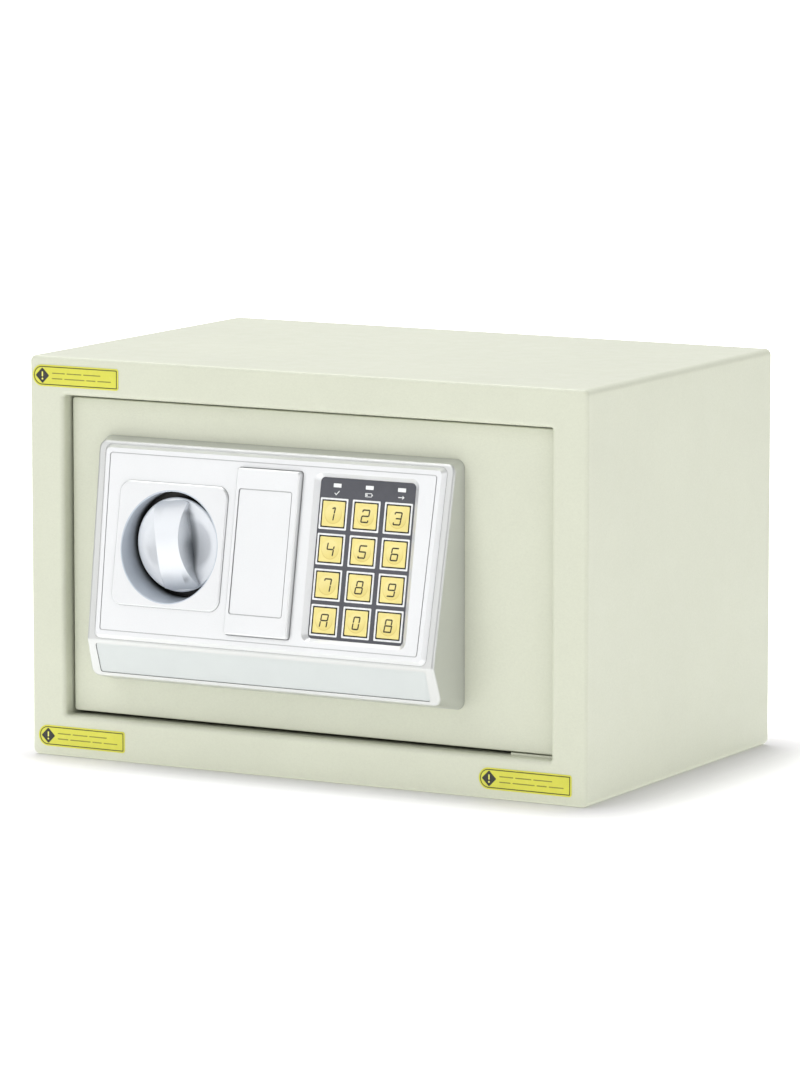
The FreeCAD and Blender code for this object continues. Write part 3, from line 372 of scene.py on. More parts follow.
def gold_key(name):
    """key tops, each with a round dish at its centre, with painted light and shade on the dish, its
    rim and the key's base
    """
    mat = Shade(name)
    dish_radius = 4.65

    def from_centre(value, first, pitch):
        cell = mat.math("DIVIDE", mat.sub(value, first), pitch)
        return mat.mul(mat.sub(cell, mat.math("ROUND", cell)), pitch)

    right, down = (
        from_centre(value, first, pitch)
        for value, first, pitch in zip(mat.on_axes(FACE_RIGHT, FACE_DOWN), KEY_FIRST, KEY_PITCH)
    )
    radius = mat.hypot(right, down)
    inside = mat.ramp(radius, span=(4.7, 4.95), to=(1, 0))
    colour = mat.tone(srgb(238, 223, 144), vary=0.03, size=8, fine=0.025, fine_size=0.3)
    # painted light and shade: the dish is lighter towards its upper left and darker towards its lower
    # right
    painted_dish_slope = mat.ramp(mat.add(down, mat.mul(right, 0.35)), span=(-4.6, 4.8))
    dish = mat.mix(srgb(243, 230, 162), srgb(226, 208, 122), painted_dish_slope)
    colour = mat.mix(colour, dish, inside, amount=0.6)
    # painted shade: the dish's rim is darker, more so on its lower side
    off_rim = mat.math("ABSOLUTE", mat.sub(radius, dish_radius))
    rim = mat.ramp(off_rim, span=(0, 0.3), to=(1, 0))
    lower_rim_shade = mat.ramp(down, span=(-2.0, 4.0), to=(0.04, 0.35))
    colour = mat.mix(colour, srgb(190, 165, 84), rim, amount=lower_rim_shade)
    # painted shade darkens the foot of each key
    height, = mat.on_axes(FACE_OUT)
    painted_foot_shade = mat.ramp(height, span=(0.10, 0.32), to=(1, 0))
    rub = mat.ramp(mat.noise(size=2.4, rough=0.6), span=(0.5, 0.8))
    return mat.done(
        Base_Color=mat.mix(colour, srgb(46, 40, 26), painted_foot_shade),
        Metallic=0.25,
        Roughness=mat.add(mat.mul(rub, 0.10), 0.38),
        Normal=mat.grain(size=0.2, depth=0.006),
    )


def overlay_print(name):
    mat = Shade(name)
    return mat.done(
        Base_Color=mat.tone(srgb(78, 79, 86), vary=0.06, size=14, fine=0.09, fine_size=0.25),
        Roughness=mat.drift(size=4, to=(0.42, 0.54)),
        Metallic=0.0,
        Normal=mat.grain(size=0.25, depth=0.012, strength=0.7, rough=0.6),
    )


def felt(name):
    """two crossing sets of fibres"""
    mat = Shade(name)
    base = srgb(84, 86, 90)

    def fibres(size, scale, turn, distort):
        grid = mat.stretch(scale, (0, 0, turn))
        return mat.noise(size, detail=5, rough=0.75, vector=grid, distort=distort)

    height = mat.math(
        "MAXIMUM",
        fibres(size=1.2, scale=(1.0, 3.5, 1.0), turn=0.7, distort=1.2),
        fibres(size=0.9, scale=(3.2, 1.0, 1.0), turn=-0.5, distort=1.5),
    )
    colour = mat.mix(scaled(base, 0.55), scaled(base, 1.55), mat.ramp(height, span=(0.35, 0.75)))
    patch = mat.ramp(mat.noise(size=28), span=(0.4, 0.7))
    return mat.done(
        Base_Color=mat.mix(colour, scaled(base, 0.8), patch, amount=0.25),
        Roughness=mat.ramp(height, span=(0.2, 0.8), to=(0.98, 0.86), smooth=False),
        Sheen_Weight=0.6,
        Sheen_Roughness=0.5,
        Normal=mat.bump(height, depth=0.35, strength=0.9),
    )


def label_film(name):
    mat = Shade(name)
    colour = mat.tone(srgb(214, 212, 70), vary=0.025, size=12, fine=0.03, fine_size=0.4)
    worn = mat.ramp(mat.noise(size=5, detail=4, rough=0.6), span=(0.55, 0.75))
    return mat.done(
        Base_Color=mat.mix(colour, srgb(236, 234, 150), worn, amount=0.10),
        Roughness=mat.drift(size=3, rough=0.6, to=(0.38, 0.52)),
        Coat_Weight=0.15,
        Normal=mat.grain(size=0.6, depth=0.012, detail=3, rough=0.6),
    )


def ink(name, *levels):
    mat = Shade(name)
    return mat.done(
        Base_Color=mat.tone(srgb(*levels), vary=0.08, size=3, fine=0.10, fine_size=0.12),
        Roughness=mat.drift(size=0.8, detail=2, to=(0.44, 0.56)),
        Normal=mat.grain(size=0.15, depth=0.004),
    )


def led_lens(name):
    mat = Shade(name)
    return mat.done(
        Base_Color=mat.tone(srgb(240, 243, 243), vary=0.03, size=2, fine=0.03, fine_size=0.2),
        Roughness=mat.drift(size=0.5, detail=2, to=(0.22, 0.34)),
        Subsurface_Weight=0.0,
        Coat_Weight=0.3,
        # painted light: a faint emission makes the lens glow a little
        Emission_Color=(1, 1, 1),
        Emission_Strength=0.06,
        Normal=mat.grain(size=0.2, depth=0.01),
    )


def circuit(name):
    """a green board with broken tracks running both ways"""
    mat = Shade(name)
    right, down = mat.on_axes(FACE_RIGHT, FACE_DOWN)
    half_width, blur = 0.18, 0.06

    def tracks(value, pitch, gate_size):
        across = mat.math("PINGPONG", value, pitch)
        line = mat.ramp(across, span=(half_width, half_width + blur), to=(1, 0))
        gate = mat.ramp(mat.noise(gate_size, detail=1, rough=0.4), span=(0.47, 0.50))
        return mat.mul(line, gate)

    track = mat.math(
        "MAXIMUM",
        tracks(right, pitch=1.15, gate_size=9),
        tracks(down, pitch=1.45, gate_size=12),
    )
    board = mat.tone(srgb(22, 92, 52), vary=0.08, size=10, fine=0.05, fine_size=0.3)
    return mat.done(
        Base_Color=mat.mix(board, srgb(54, 138, 84), track, amount=0.7),
        Roughness=mat.ramp(track, span=(0, 1), to=(0.34, 0.28)),
        Coat_Weight=0.4,
        Coat_Roughness=0.2,
        Normal=mat.bump(track, depth=0.035, strength=0.8),
    )


def wires(name):
    """each loose piece of the mesh is red, black or yellow"""
    mat = Shade(name)
    pick = mat.node("NewGeometry").outputs["Random Per Island"]
    colour = srgb(168, 34, 30)
    for limit, sleeve in ((0.33, srgb(34, 34, 36)), (0.66, srgb(206, 168, 42))):
        colour = mat.mix(colour, sleeve, mat.math("GREATER_THAN", pick, limit))
    return mat.done(
        Base_Color=mat.dim(colour, mat.drift(size=1.6, rough=0.6, to=(0.88, 1.06))),
        Roughness=mat.drift(size=2, detail=2, to=(0.38, 0.52)),
        Normal=mat.grain(size=0.5, depth=0.02),
    )


def winding(name):
    """amber tape with turns stacked along z"""
    mat = Shade(name)
    half_turn = 0.35
    _, _, z = mat.xyz(mat.place)
    turns = mat.ramp(mat.math("PINGPONG", z, half_turn), span=(0, half_turn))
    patches = mat.noise(size=4, detail=2, vector=mat.stretch((1, 1, 4)))
    wrap = mat.ramp(patches, span=(0.35, 0.65))
    colour = mat.mix(srgb(196, 150, 52), srgb(168, 118, 36), wrap, amount=0.5)
    return mat.done(
        Base_Color=mat.mix(colour, srgb(226, 188, 98), turns, amount=0.2),
        Roughness=0.34,
        Coat_Weight=0.3,
        Normal=mat.bump(turns, depth=0.05, strength=0.8),
    )


def cell_jacket(name):
    """dark cells in a row along x; the copper band is at the top or bottom by turns"""
    mat = Shade(name)
    first_cell, cell_pitch = 45.5, 15.0
    x, _, z = mat.xyz(mat.place)
    number = mat.math("ROUND", mat.math("DIVIDE", mat.sub(x, first_cell), cell_pitch))
    # a hair under the number, so that halves round down
    half = mat.math("ROUND", mat.math("DIVIDE", mat.sub(number, 0.01), 2.0))
    odd = mat.math("ABSOLUTE", mat.sub(number, mat.mul(half, 2.0)))
    top = mat.ramp(z, span=(136.0, 136.3))
    low = mat.ramp(z, span=(111.5, 111.8), to=(1, 0))
    band = mat.add(mat.mul(top, mat.invert(odd)), mat.mul(low, odd), clamp=True)
    ends = mat.add(
        mat.ramp(z, span=(148.0, 148.2)),
        mat.ramp(z, span=(99.6, 99.8), to=(1, 0)),
        clamp=True,
    )
    dark = mat.tone(srgb(52, 56, 66), vary=0.05, size=9, fine=0.04, fine_size=0.4)
    copper = mat.tone(srgb(206, 142, 64), vary=0.04, size=9, fine=0.04, fine_size=0.4)
    return mat.done(
        Base_Color=mat.mix(mat.mix(dark, copper, band), srgb(190, 190, 188), ends),
        Metallic=mat.add(mat.mul(band, 0.5), mat.mul(ends, 0.5), clamp=True),
        Roughness=mat.drift(size=5, to=(0.26, 0.36)),
        Coat_Weight=0.4,
        Normal=mat.grain(size=0.8, depth=0.01, strength=0.5),
    )


CREAM = srgb(211, 214, 195)
# (builder, name, its settings); each is named after its material slot
SLOT_RECIPES = [
    (powder, "cream_coat", dict(base=CREAM)),
    (felt, "felt", {}),
    (metal, "zinc_steel",
     dict(base=(0.60, 0.60, 0.61), rough=0.34, streak=(1, 1, 6), size=0.30, tarnish=0.20)),
    (metal, "bolt_steel",
     dict(base=(0.72, 0.72, 0.73), rough=0.16, streak=(8, 1, 1), size=0.16, tarnish=0.06,
          depth=0.004)),
    (metal, "brass",
     dict(base=(0.72, 0.53, 0.22), rough=0.27, streak=(1, 5, 1), size=0.22, tarnish=0.20)),
    (metal, "lock_chrome",
     dict(base=(0.74, 0.74, 0.75), rough=0.15, streak=(1, 4, 1), size=0.2, tarnish=0.08,
          depth=0.004)),
    (plastic, "nylon_white",
     dict(base=srgb(232, 231, 222), rough=0.46, grain=0.5, depth=0.02, sheen=0.1)),
    (lacquer, "silver_plastic", dict(base=(0.80, 0.81, 0.82))),
    (plastic, "grey_inlay",
     dict(base=srgb(206, 211, 210), rough=0.42, grain=0.3, depth=0.012, coat=0.1, wear=0.0,
          vary=0.012)),
    (overlay_print, "overlay_dark", {}),
    (gold_key, "key_gold", {}),
    (led_lens, "led_white", {}),
    (circuit, "board_green", {}),
    (plastic, "black_plastic", dict(base=srgb(44, 44, 47), rough=0.52, grain=0.55, depth=0.05)),
    (plastic, "red_plastic",
     dict(base=srgb(186, 34, 28), rough=0.34, grain=0.4, depth=0.015, coat=0.3)),
    (plastic, "rubber_black",
     dict(base=srgb(34, 34, 35), rough=0.68, grain=0.4, depth=0.03, sheen=0.15)),
    (wires, "wire_sleeve", {}),
    (winding, "coil_tape", {}),
    (cell_jacket, "cell_jacket", {}),
    (label_film, "label_yellow", {}),
]
MATERIALS = {name: build(name, **settings) for build, name, settings in SLOT_RECIPES}
# pieces that differ from the rest of their slot
PIECE_MATERIALS = {
    # painted shade: the housing gets a darker base than the keypad face's silver, so its sides read
    # darker
    "control_housing": lacquer("silver_housing_shaded", (0.64, 0.65, 0.64), metallic=0.80, rough=0.34),
    "knob_bezel": lacquer("silver_bezel", (0.78, 0.79, 0.80), shade=well_shade),
    # painted light: the door's coat is a little lighter than the body's, to offset the shade of the
    # recess around it
    "door_plate": powder("cream_door_lit", scaled(CREAM, 1.012)),
    "knob": lacquer(
        "silver_knob", (0.79, 0.815, 0.85), metallic=0.35, rough=0.42, shade=knob_shade
    ),
}
INK_BROWN = ink("ink_brown", 44, 37, 20)
INK_WHITE = ink("ink_white", 238, 240, 240)
INK_OLIVE = ink("ink_olive", 70, 70, 18)
INK_FAINT = ink("ink_faint", 140, 138, 52)
INK_DARK = ink("ink_dark", 42, 44, 40)
INK_YELLOW = ink("ink_yellow", 236, 232, 110)

SLOT_OF = {part["node"]: part["material_slot"] for part in frame["record"]["subparts"]}
for name, piece in NODES.items():
    piece.data.materials.clear()
    piece.data.materials.append(PIECE_MATERIALS.get(name, MATERIALS[SLOT_OF[name]]))


# ------------------------------------------------------------------ print helpers
CORNER_STEPS = 4


def round_corners(points, radius, closed):
    """a polyline with its corners turned into short arcs"""
    out = []
    count = len(points)
    for i in range(count):
        corner = Vector(points[i])
        if not closed and i in (0, count - 1):
            out.append(corner)
            continue
        back = Vector(points[i - 1]) - corner
        ahead = Vector(points[(i + 1) % count]) - corner
        room = min(back.length * 0.49, ahead.length * 0.49)
        back.normalize()
        ahead.normalize()
        angle = math.acos(max(-1, min(1, back.dot(ahead))))
        if angle > math.radians(170):
            out.append(corner)
            continue
        cut = min(radius / math.tan(angle / 2), room)
        arc_radius = cut * math.tan(angle / 2)
        centre = corner + (back + ahead).normalized() * (arc_radius / math.sin(angle / 2))
        start, end = (
            math.atan2(tip.y - centre.y, tip.x - centre.x)
            for tip in (corner + back * cut, corner + ahead * cut)
        )
        sweep = (end - start + math.pi) % (2 * math.pi) - math.pi
        for k in range(CORNER_STEPS + 1):
            turn = start + sweep * k / CORNER_STEPS
            x = centre.x + arc_radius * math.cos(turn)
            out.append(Vector((x, centre.y + arc_radius * math.sin(turn))))
    return out


def corners(x0, x1, y0, y1):
    return [(x0, y0), (x1, y0), (x1, y1), (x0, y1)]


def arc(x, y, radius, angles):
    return [Vector((x + radius * math.cos(a), y + radius * math.sin(a))) for a in angles]


class Print:
    """thin closed shapes between two heights over a flat face"""

    def __init__(self, place, low, high):
        self.place = place
        self.heights = (low, high)
        self.verts = []
        self.faces = []

    def strip(self, left, right, closed):
        base, count = len(self.verts), len(left)
        for height in self.heights:
            for side in (left, right):
                self.verts += [self.place(x, y, height) for x, y in side]
        left0, right0, left1, right1 = (base + k * count for k in range(4))
        for i in range(count if closed else count - 1):
            j = (i + 1) % count
            self.faces += [
                (left1 + i, right1 + i, right1 + j, left1 + j),
                (left0 + j, right0 + j, right0 + i, left0 + i),
                (left0 + i, left1 + i, left1 + j, left0 + j),
                (right0 + j, right1 + j, right1 + i, right0 + i),
            ]
        if not closed:
            last = count - 1
            self.faces += [
                (left0, right0, right1, left1),
                (left0 + last, left1 + last, right1 + last, right0 + last),
            ]

    def stroke(self, points, width, closed=False, corner=0.0):
        path = round_corners(points, corner, closed) if corner else [Vector(p) for p in points]
        if not closed:
            # lengthen both ends, which taper below
            start = (path[0] - path[1]).normalized()
            end = (path[-1] - path[-2]).normalized()
            path = [path[0] + start * width * 0.30] + path + [path[-1] + end * width * 0.30]
        count = len(path)
        left, right = [], []
        for i, point in enumerate(path):
            before = point - path[i - 1] if closed or i else path[1] - path[0]
            after = path[(i + 1) % count] - point if closed or i < count - 1 else before.copy()
            before.normalize()
            after.normalize()
            along = (before + after).normalized()
            side = Vector((-along.y, along.x))
            half = width / 2 / max(0.5, along.dot(before))
            if not closed and i in (0, count - 1):
                half *= 0.55
            left.append(point + side * half)
            right.append(point - side * half)
        self.strip(left, right, closed)

    def plate(self, points):
        base, count = len(self.verts), len(points)
        for height in self.heights:
            self.verts += [self.place(x, y, height) for x, y in points]
        self.faces.append(tuple(range(base + 2 * count - 1, base + count - 1, -1)))
        self.faces.append(tuple(range(base, base + count)))
        for i in range(count):
            j = (i + 1) % count
            self.faces.append((base + i, base + count + i, base + count + j, base + j))

    def make(self, name, material, body, slot):
        mesh = bpy.data.meshes.new(name)
        mesh.from_pydata([tuple(v) for v in self.verts], [], self.faces)
        mesh.validate()
        mesh.materials.append(material)
        piece = add_object(name, mesh)
        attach(piece, body)
        work = bmesh.new()
        work.from_mesh(mesh)
        bmesh.ops.recalc_face_normals(work, faces=work.faces)
        work.to_mesh(mesh)
        work.free()


def on_face(right, down, out):
    """keypad-face place to metres"""
    return (FACE_ORIGIN + FACE_RIGHT * right + FACE_DOWN * down + FACE_OUT * out) / 1000.0


# ------------------------------------------------------------------ key legends
KEY_NAMES = ["123", "456", "789", "a0b"]
KEY_TOP = 0.48
LEGEND_SCALE = 0.92
LEGEND_SLANT = math.tan(math.radians(8))
LEGEND_WIDTH = 0.74

# legend: (open strokes, closed strokes), as x right and y up from the key's centre
TOP, MID, LOW, LEFT, RIGHT = 3.2, 0.0, -3.2, -2.0, 2.0
UPPER_BOX = [(LEFT, MID), (RIGHT, MID), (RIGHT, TOP), (LEFT, TOP)]
LOWER_BOX = [(LEFT, LOW), (RIGHT, LOW), (RIGHT, MID), (LEFT, MID)]
GLYPHS = {
    "1": ([[(-0.9, 2.75), (-0.1, 3.15), (0.55, 3.15), (0.55, 0.42)],
           [(0.55, -0.30), (0.55, LOW)]], []),
    "2": ([[(LEFT, 2.2), (LEFT, TOP), (RIGHT, TOP), (RIGHT, MID), (LEFT, MID), (LEFT, LOW),
            (RIGHT, LOW), (RIGHT, -2.3)]], []),
    "3": ([[(LEFT, 2.3), (LEFT, TOP), (RIGHT, TOP), (RIGHT, LOW), (LEFT, LOW), (LEFT, -2.3)],
           [(-0.9, MID), (1.6, MID)]], []),
    "4": ([[(-1.9, TOP), (-1.9, MID), (1.55, MID)], [(RIGHT, 1.5), (RIGHT, 0.38)],
           [(RIGHT, -0.38), (RIGHT, LOW)]], []),
    "5": ([[(RIGHT, TOP), (-1.9, TOP), (-1.9, MID), (RIGHT, MID), (RIGHT, LOW), (-1.9, LOW),
            (-1.9, -2.4)]], []),
    "6": ([[(1.7, TOP), (-1.9, TOP), (-1.9, 0.75)]],
          [[(-1.9, 0.1), (RIGHT, 0.1), (RIGHT, LOW), (-1.9, LOW)]]),
    "7": ([[(-1.9, 2.3), (-1.9, TOP), (RIGHT, TOP), (RIGHT, 0.36)],
           [(RIGHT, -0.36), (RIGHT, LOW)]], []),
    "8": ([[(-1.7, 0.72), (-1.7, TOP), (1.7, TOP), (1.7, 0.72)]], [LOWER_BOX]),
    "9": ([[(RIGHT, -0.66), (RIGHT, LOW), (-1.8, LOW)]], [UPPER_BOX]),
    "a": ([[(LEFT, -0.66), (LEFT, LOW)], [(RIGHT, -0.66), (RIGHT, LOW)]], [UPPER_BOX]),
    "0": ([[(-1.7, 0.4), (-1.7, TOP), (1.7, TOP), (1.7, 0.4)],
           [(-1.7, -0.4), (-1.7, LOW), (1.7, LOW), (1.7, -0.4)]], []),
    "b": ([[(LEFT, 0.72), (LEFT, TOP), (1.6, TOP), (1.6, 0.72)]], [LOWER_BOX]),
}


def make_legend(key, column, row):
    def place(x, y, out):
        right = column + (x + y * LEGEND_SLANT) * LEGEND_SCALE
        return on_face(right, row - y * LEGEND_SCALE, out)

    legend = Print(place, KEY_TOP - 0.015, KEY_TOP + 0.018)
    open_lines, loops = GLYPHS[key]
    for points in open_lines:
        legend.stroke(points, LEGEND_WIDTH, corner=0.55)
    for points in loops:
        legend.stroke(points, LEGEND_WIDTH, closed=True, corner=0.12 if key == "b" else 0.6)
    legend.make("legend_" + key, INK_BROWN, "press_key_" + key, "key_gold")


for keys, row in zip(KEY_NAMES, KEY_ROWS):
    for key, column in zip(keys, KEY_COLUMNS):
        make_legend(key, column, row)

# ------------------------------------------------------------------ keypad face printing
FACE_PRINT = (0.285, 0.335)  # bottom and top of the ink above the face
# (half width, corner radius) of the outer and inner outline of a key's frame
FRAME_LOOPS = ((7.62, 0.5), (6.74, 0.35))

frames = Print(on_face, *FACE_PRINT)
for row in KEY_ROWS:
    for column in KEY_COLUMNS:
        outer, inner = (
            round_corners(corners(column - k, column + k, row - k, row + k), radius, True)
            for k, radius in FRAME_LOOPS
        )
        frames.strip(outer, inner, closed=True)
frames.make("keypad_frames", INK_WHITE, "door", "overlay_dark")

# small signs under the three lights: a tick, a cell and an arrow
SIGN_ROW = 15.3
SIGN_SHIFT = 0.9  # right of the key column


def sign_points(column, points):
    return [(KEY_COLUMNS[column] + SIGN_SHIFT + x, SIGN_ROW + y) for x, y in points]


signs = Print(on_face, *FACE_PRINT)
signs.stroke(sign_points(0, [(-1.1, 0.1), (-0.3, 0.9), (1.3, -0.9)]), width=0.42)
cell_case = sign_points(1, corners(-1.9, 1.5, -0.8, 0.8))
signs.stroke(cell_case, width=0.30, closed=True, corner=0.2)
signs.plate(sign_points(1, corners(1.72, 2.15, -0.35, 0.35)))
signs.plate(sign_points(1, corners(-1.5, -0.8, -0.42, 0.42)))
signs.stroke(sign_points(2, [(-1.6, 0), (0.35, 0)]), width=0.40)
signs.plate(sign_points(2, [(0.62, -0.95), (1.75, 0), (0.62, 0.95)]))
signs.make("light_signs", INK_WHITE, "door", "overlay_dark")

# ------------------------------------------------------------------ label printing
# left, right, bottom, top; each label's left end is a half circle
LABELS = [(-153.1, -103.7, 184.9, 195.6), (-151.3, -101.3, 4.6, 15.2), (97.2, 147.2, 4.7, 15.3)]
FRONT_Y = -100.22
LABEL_CORNER = 1.2
BORDER_INSETS = (0.72, 1.20)
DIAMOND_REACH = 3.95
DOT_ANGLES = np.linspace(0, 2 * math.pi, 11)[:-1]
# height from the label's middle, then the start and end of each bar as parts of the row
BAR_ROWS = (
    (1.35, ((0.0, 0.20), (0.24, 0.47), (0.51, 0.78))),
    (-1.35, ((0.0, 0.16), (0.20, 0.52), (0.56, 0.70), (0.74, 0.95))),
)


def on_front(x, z, out):
    return Vector((x, FRONT_Y - out, z)) / 1000.0


def label_outline(label, inset):
    left, right, bottom, top = label
    radius = (top - bottom) / 2
    round_end = np.linspace(math.pi / 2, 3 * math.pi / 2, 25)
    points = arc(left + radius, (bottom + top) / 2, radius - inset, round_end)
    corner = max(0.2, LABEL_CORNER - inset)
    x = right - inset - corner
    for z, start in ((bottom + inset + corner, -math.pi / 2), (top - inset - corner, 0.0)):
        points += arc(x, z, corner, np.linspace(start, start + math.pi / 2, 5))
    return points


borders, bars, diamonds = (Print(on_front, -0.01, 0.03) for _ in range(3))
marks = Print(on_front, 0.028, 0.05)
for label in LABELS:
    left, right, bottom, top = label
    middle = (bottom + top) / 2
    radius = (top - bottom) / 2
    borders.strip(*(label_outline(label, inset) for inset in BORDER_INSETS), closed=True)
    # a dark diamond that carries a short bar over a dot
    x = left + radius + 0.3
    diamond = [
        (x + DIAMOND_REACH, middle), (x, middle + DIAMOND_REACH),
        (x - DIAMOND_REACH, middle), (x, middle - DIAMOND_REACH),
    ]
    diamonds.plate(round_corners(diamond, 0.5, closed=True))
    marks.stroke([(x, middle + 1.7), (x, middle - 0.35)], width=0.75)
    marks.plate(arc(x, middle - 1.65, 0.48, DOT_ANGLES))
    # two rows of thin bars
    row_start = left + radius + radius + 0.7
    row_length = right - 2.6 - row_start
    for rise, spans in BAR_ROWS:
        for span in spans:
            ends = [(row_start + part * row_length, middle + rise) for part in span]
            bars.stroke(ends, width=0.55)
borders.make("label_lines", INK_OLIVE, "body", "label_yellow")
bars.make("label_rows", INK_FAINT, "body", "label_yellow")
diamonds.make("label_signs", INK_DARK, "body", "label_yellow")
marks.make("label_marks", INK_YELLOW, "body", "label_yellow")

# ------------------------------------------------------------------ felt mat
MAT_HOLES = ((-90, 30), (90, 30))
MAT_HOLE_RADIUS = 9.0
MAT_ROLL = 2.2  # width of the softened edge


def soften_mat(points, lo, hi):
    """roll the mat's edges and give its top a gentle wave; points, lo and hi in metres"""
    x, y = points[:, 0] * 1000, points[:, 1] * 1000
    top = points[:, 2] > (lo.z + hi.z) / 2
    # distance in from the outside and from the two holes
    edge = np.minimum(
        np.minimum(x - lo.x * 1000, hi.x * 1000 - x),
        np.minimum(y - lo.y * 1000, hi.y * 1000 - y),
    )
    for hole_x, hole_y in MAT_HOLES:
        edge = np.minimum(edge, np.hypot(x - hole_x, y - hole_y) - MAT_HOLE_RADIUS)
    inward = np.clip(edge / MAT_ROLL, 0, 1)
    # heights in mm of the waves, from broad to fine
    wave = (
        0.16 * np.sin(x * 0.045 + 1.3) * np.sin(y * 0.06 + 0.4)
        + 0.10 * np.sin(x * 0.11 + y * 0.07)
        + 0.06 * np.sin(x * 0.31 - y * 0.23 + 2.0)
    )
    fuzz = (
        0.05 * np.sin(x * 1.9 + 0.7 * np.sin(y * 1.3)) * np.sin(y * 2.1 + 0.5 * np.sin(x * 1.7))
    )
    roll = 1 - (1 - inward) ** 2
    rise = -0.55 * (1 - roll) + (wave - 0.30 + fuzz) * np.clip(edge / 8.0, 0.15, 1)
    lift = np.where(edge < MAT_ROLL, 0.10 * (1 - inward), 0.0)
    points[:, 2] += np.where(top, rise, lift) / 1000.0
    points[:, 2] = np.clip(points[:, 2], lo.z, hi.z)


mesh = NODES["floor_mat"].data.copy()
mesh.name = "felt_mat"
felt_mat = add_object("felt_mat", mesh)
remesh = felt_mat.modifiers.new("remesh", "REMESH")
remesh.mode = "VOXEL"
remesh.voxel_size = 0.00125  # metres
bpy.context.view_layer.update()
graph = bpy.context.evaluated_depsgraph_get()
soft = bpy.data.meshes.new_from_object(felt_mat.evaluated_get(graph), depsgraph=graph)
felt_mat.modifiers.clear()
flat = np.empty(len(soft.vertices) * 3, np.float32)
soft.vertices.foreach_get("co", flat)
points = flat.reshape(-1, 3).astype(float)
soften_mat(points, *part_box("floor_mat"))
soft.vertices.foreach_set("co", points.astype(np.float32).ravel())
soft.update()
for polygon in soft.polygons:
    polygon.use_smooth = True
felt_mat.data = soft
soft.name = "felt_mat"
soft.materials.clear()
soft.materials.append(MATERIALS["felt"])
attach(felt_mat, "body")
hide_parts("floor_mat")

spring = NODES["plunger_spring"]
coil = add_object("return_coil", spring.data.copy())
coil.data.name = "return_coil"
coil.data.materials.clear()
coil.data.materials.append(spring.material_slots[0].material)
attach(coil, "door")
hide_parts("plunger_spring")
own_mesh(coil)


# ------------------------------------------------------------------ floor
def floor_material():
    """paler with distance from the body's footprint, which leaves a painted soft contact shadow that
    only the camera sees
    """
    mat = Shade("stage_floor")
    half_width, half_depth = 150.0, 95.0
    x, y, _ = mat.xyz(mat.place)
    beyond = [
        mat.math("MAXIMUM", mat.sub(mat.math("ABSOLUTE", value), half), 0.0)
        for value, half in ((x, half_width), (y, half_depth))
    ]
    distance = mat.hypot(*beyond)
    to_camera = mat.node("LightPath").outputs["Is Camera Ray"]
    # painted shadow: a lilac darkening and a weaker glow close to the footprint, for camera rays only
    painted_contact_shadow = mat.ramp(distance, span=(0, 90), to=(1, 0), smooth=False)
    painted_contact_shadow = mat.mul(mat.math("POWER", painted_contact_shadow, 1.7), to_camera)
    colour = mat.tone((0.90, 0.90, 0.895), vary=0.006, size=400, fine=0.004, fine_size=3.0)
    far = mat.add(
        mat.ramp(distance, span=(300, 2500), to=(0, 0.45), smooth=False),
        mat.ramp(distance, span=(12, 90), to=(0, 0.28)),
    )
    glow = mat.add(mat.mul(far, to_camera), mat.mul(mat.invert(painted_contact_shadow), 0.45))
    return mat.done(
        Base_Color=mat.mix(colour, (0.60, 0.58, 0.62), painted_contact_shadow, amount=0.55),
        Roughness=mat.drift(size=60, to=(0.72, 0.82)),
        Specular_IOR_Level=0.15,
        Emission_Color=(1, 1, 1),
        Emission_Strength=glow,
    )


floor_paint = floor_material()
work = bmesh.new()
bmesh.ops.create_grid(work, x_segments=12, y_segments=12, size=7.0)  # metres
mesh = bpy.data.meshes.new("stage_floor")
work.to_mesh(mesh)
work.free()
mesh.materials.append(floor_paint)
floor = add_object("stage_floor", mesh)
floor.location.z = -0.0002

# ------------------------------------------------------------------ world
world = bpy.data.worlds.new("studio")
SCENE.world = world
world.use_nodes = True
room = Graph(world.node_tree)
# the room is brighter overhead and behind the object, and dimmer to the right
x, y, z = room.xyz(room.node("TexCoord").outputs["Generated"])
overhead = room.ramp(z, span=(-0.1, 0.9), to=(0.29, 0.56), smooth=False)
side = room.ramp(x, span=(0.05, 0.85), to=(1.0, 0.55), smooth=False)
behind = room.ramp(y, span=(0.35, 0.95), to=(0.0, 0.45), smooth=False)
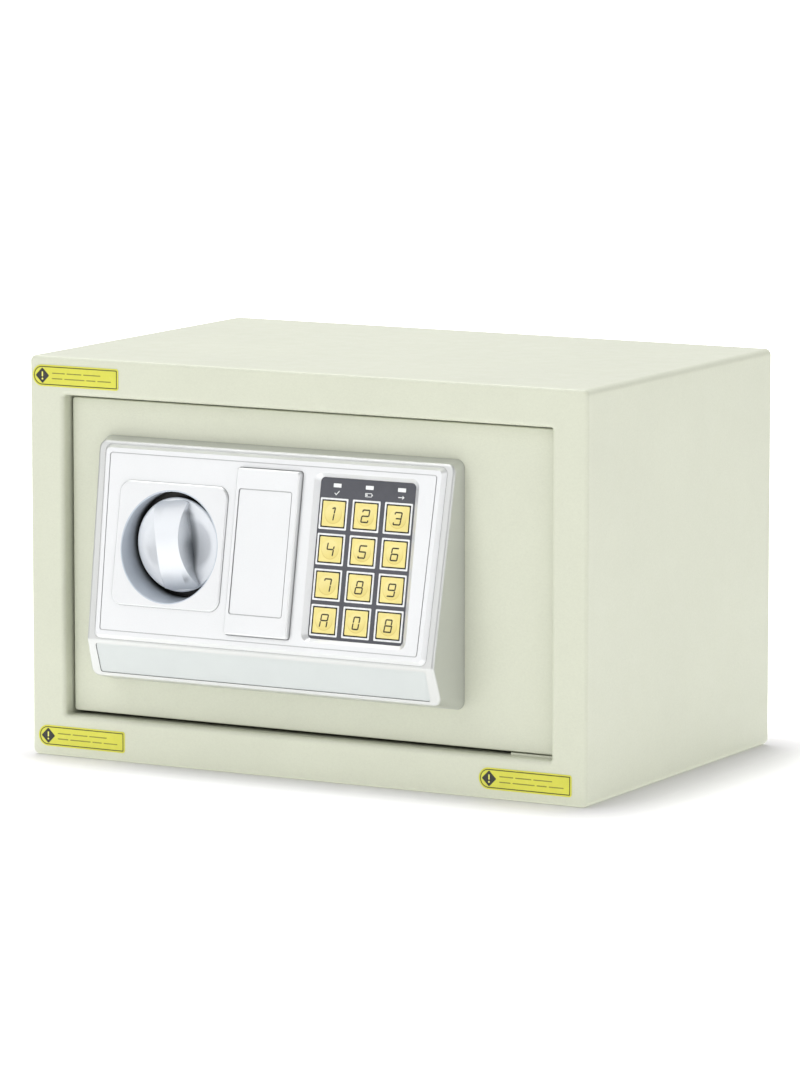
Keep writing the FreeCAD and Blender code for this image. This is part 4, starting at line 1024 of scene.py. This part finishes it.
# the camera sees an even white instead
strength = room.node("Mix", {"data_type": "FLOAT"})
room.put(strength.inputs[0], room.node("LightPath").outputs["Is Camera Ray"])
room.put(strength.inputs[2], room.add(room.mul(overhead, side), behind))
room.put(strength.inputs[3], 1.05)
background = room.node("Background", Color=(1, 1, 1), Strength=strength.outputs[0])
room.node("OutputWorld", Surface=background.outputs[0])


# ------------------------------------------------------------------ lights, in metres and watts
def aim(item, direction):
    item.rotation_mode = "QUATERNION"
    item.rotation_quaternion = direction.to_track_quat("-Z", "Y")


LIGHT_TARGET = Vector((0, 0, 0.1))
# name, place, width and height, power
LIGHTS = [
    ("key_front_left", (-1.45, -2.60, 0.70), (2.0, 1.6), 8.2),
    ("top_front", (-0.90, -1.80, 1.75), (1.3, 1.0), 10.5),
    ("top_soft", (-0.70, 0.35, 2.25), (2.0, 1.8), 37),
    ("front_fill", (1.7, -2.3, 0.70), (1.1, 0.9), 3.0),
    ("side_right", (2.6, -0.2, 1.2), (1.6, 1.6), 12.5),
    ("edge_right", (2.5, -1.5, 0.25), (0.25, 1.2), 3.5),
]
for name, place, size, power in LIGHTS:
    light = bpy.data.lights.new(name, "AREA")
    light.shape = "RECTANGLE"
    light.size, light.size_y = size
    light.energy = power
    lamp = add_object(name, light)
    lamp.location = place
    aim(lamp, LIGHT_TARGET - Vector(place))

# ------------------------------------------------------------------ camera, in metres
AZIMUTH = math.radians(28.831)  # from straight ahead, towards +X
ELEVATION = math.radians(8.21)
DISTANCE = 3.074026
CAMERA_TARGET = Vector((-0.001553, 0.0, 0.102736))

lens = bpy.data.cameras.new("camera")
lens.lens = 203.35
lens.sensor_width = 36.0
lens.clip_start = 0.05
lens.clip_end = 60.0
lens.shift_x = 0.0009
camera = add_object("camera", lens)
to_camera = Vector((
    math.sin(AZIMUTH) * math.cos(ELEVATION),
    -math.cos(AZIMUTH) * math.cos(ELEVATION),
    math.sin(ELEVATION),
))
camera.location = CAMERA_TARGET + to_camera * DISTANCE
aim(camera, -to_camera)
SCENE.camera = camera
SCENE.view_settings.view_transform = "Standard"
SCENE.view_settings.look = "None"
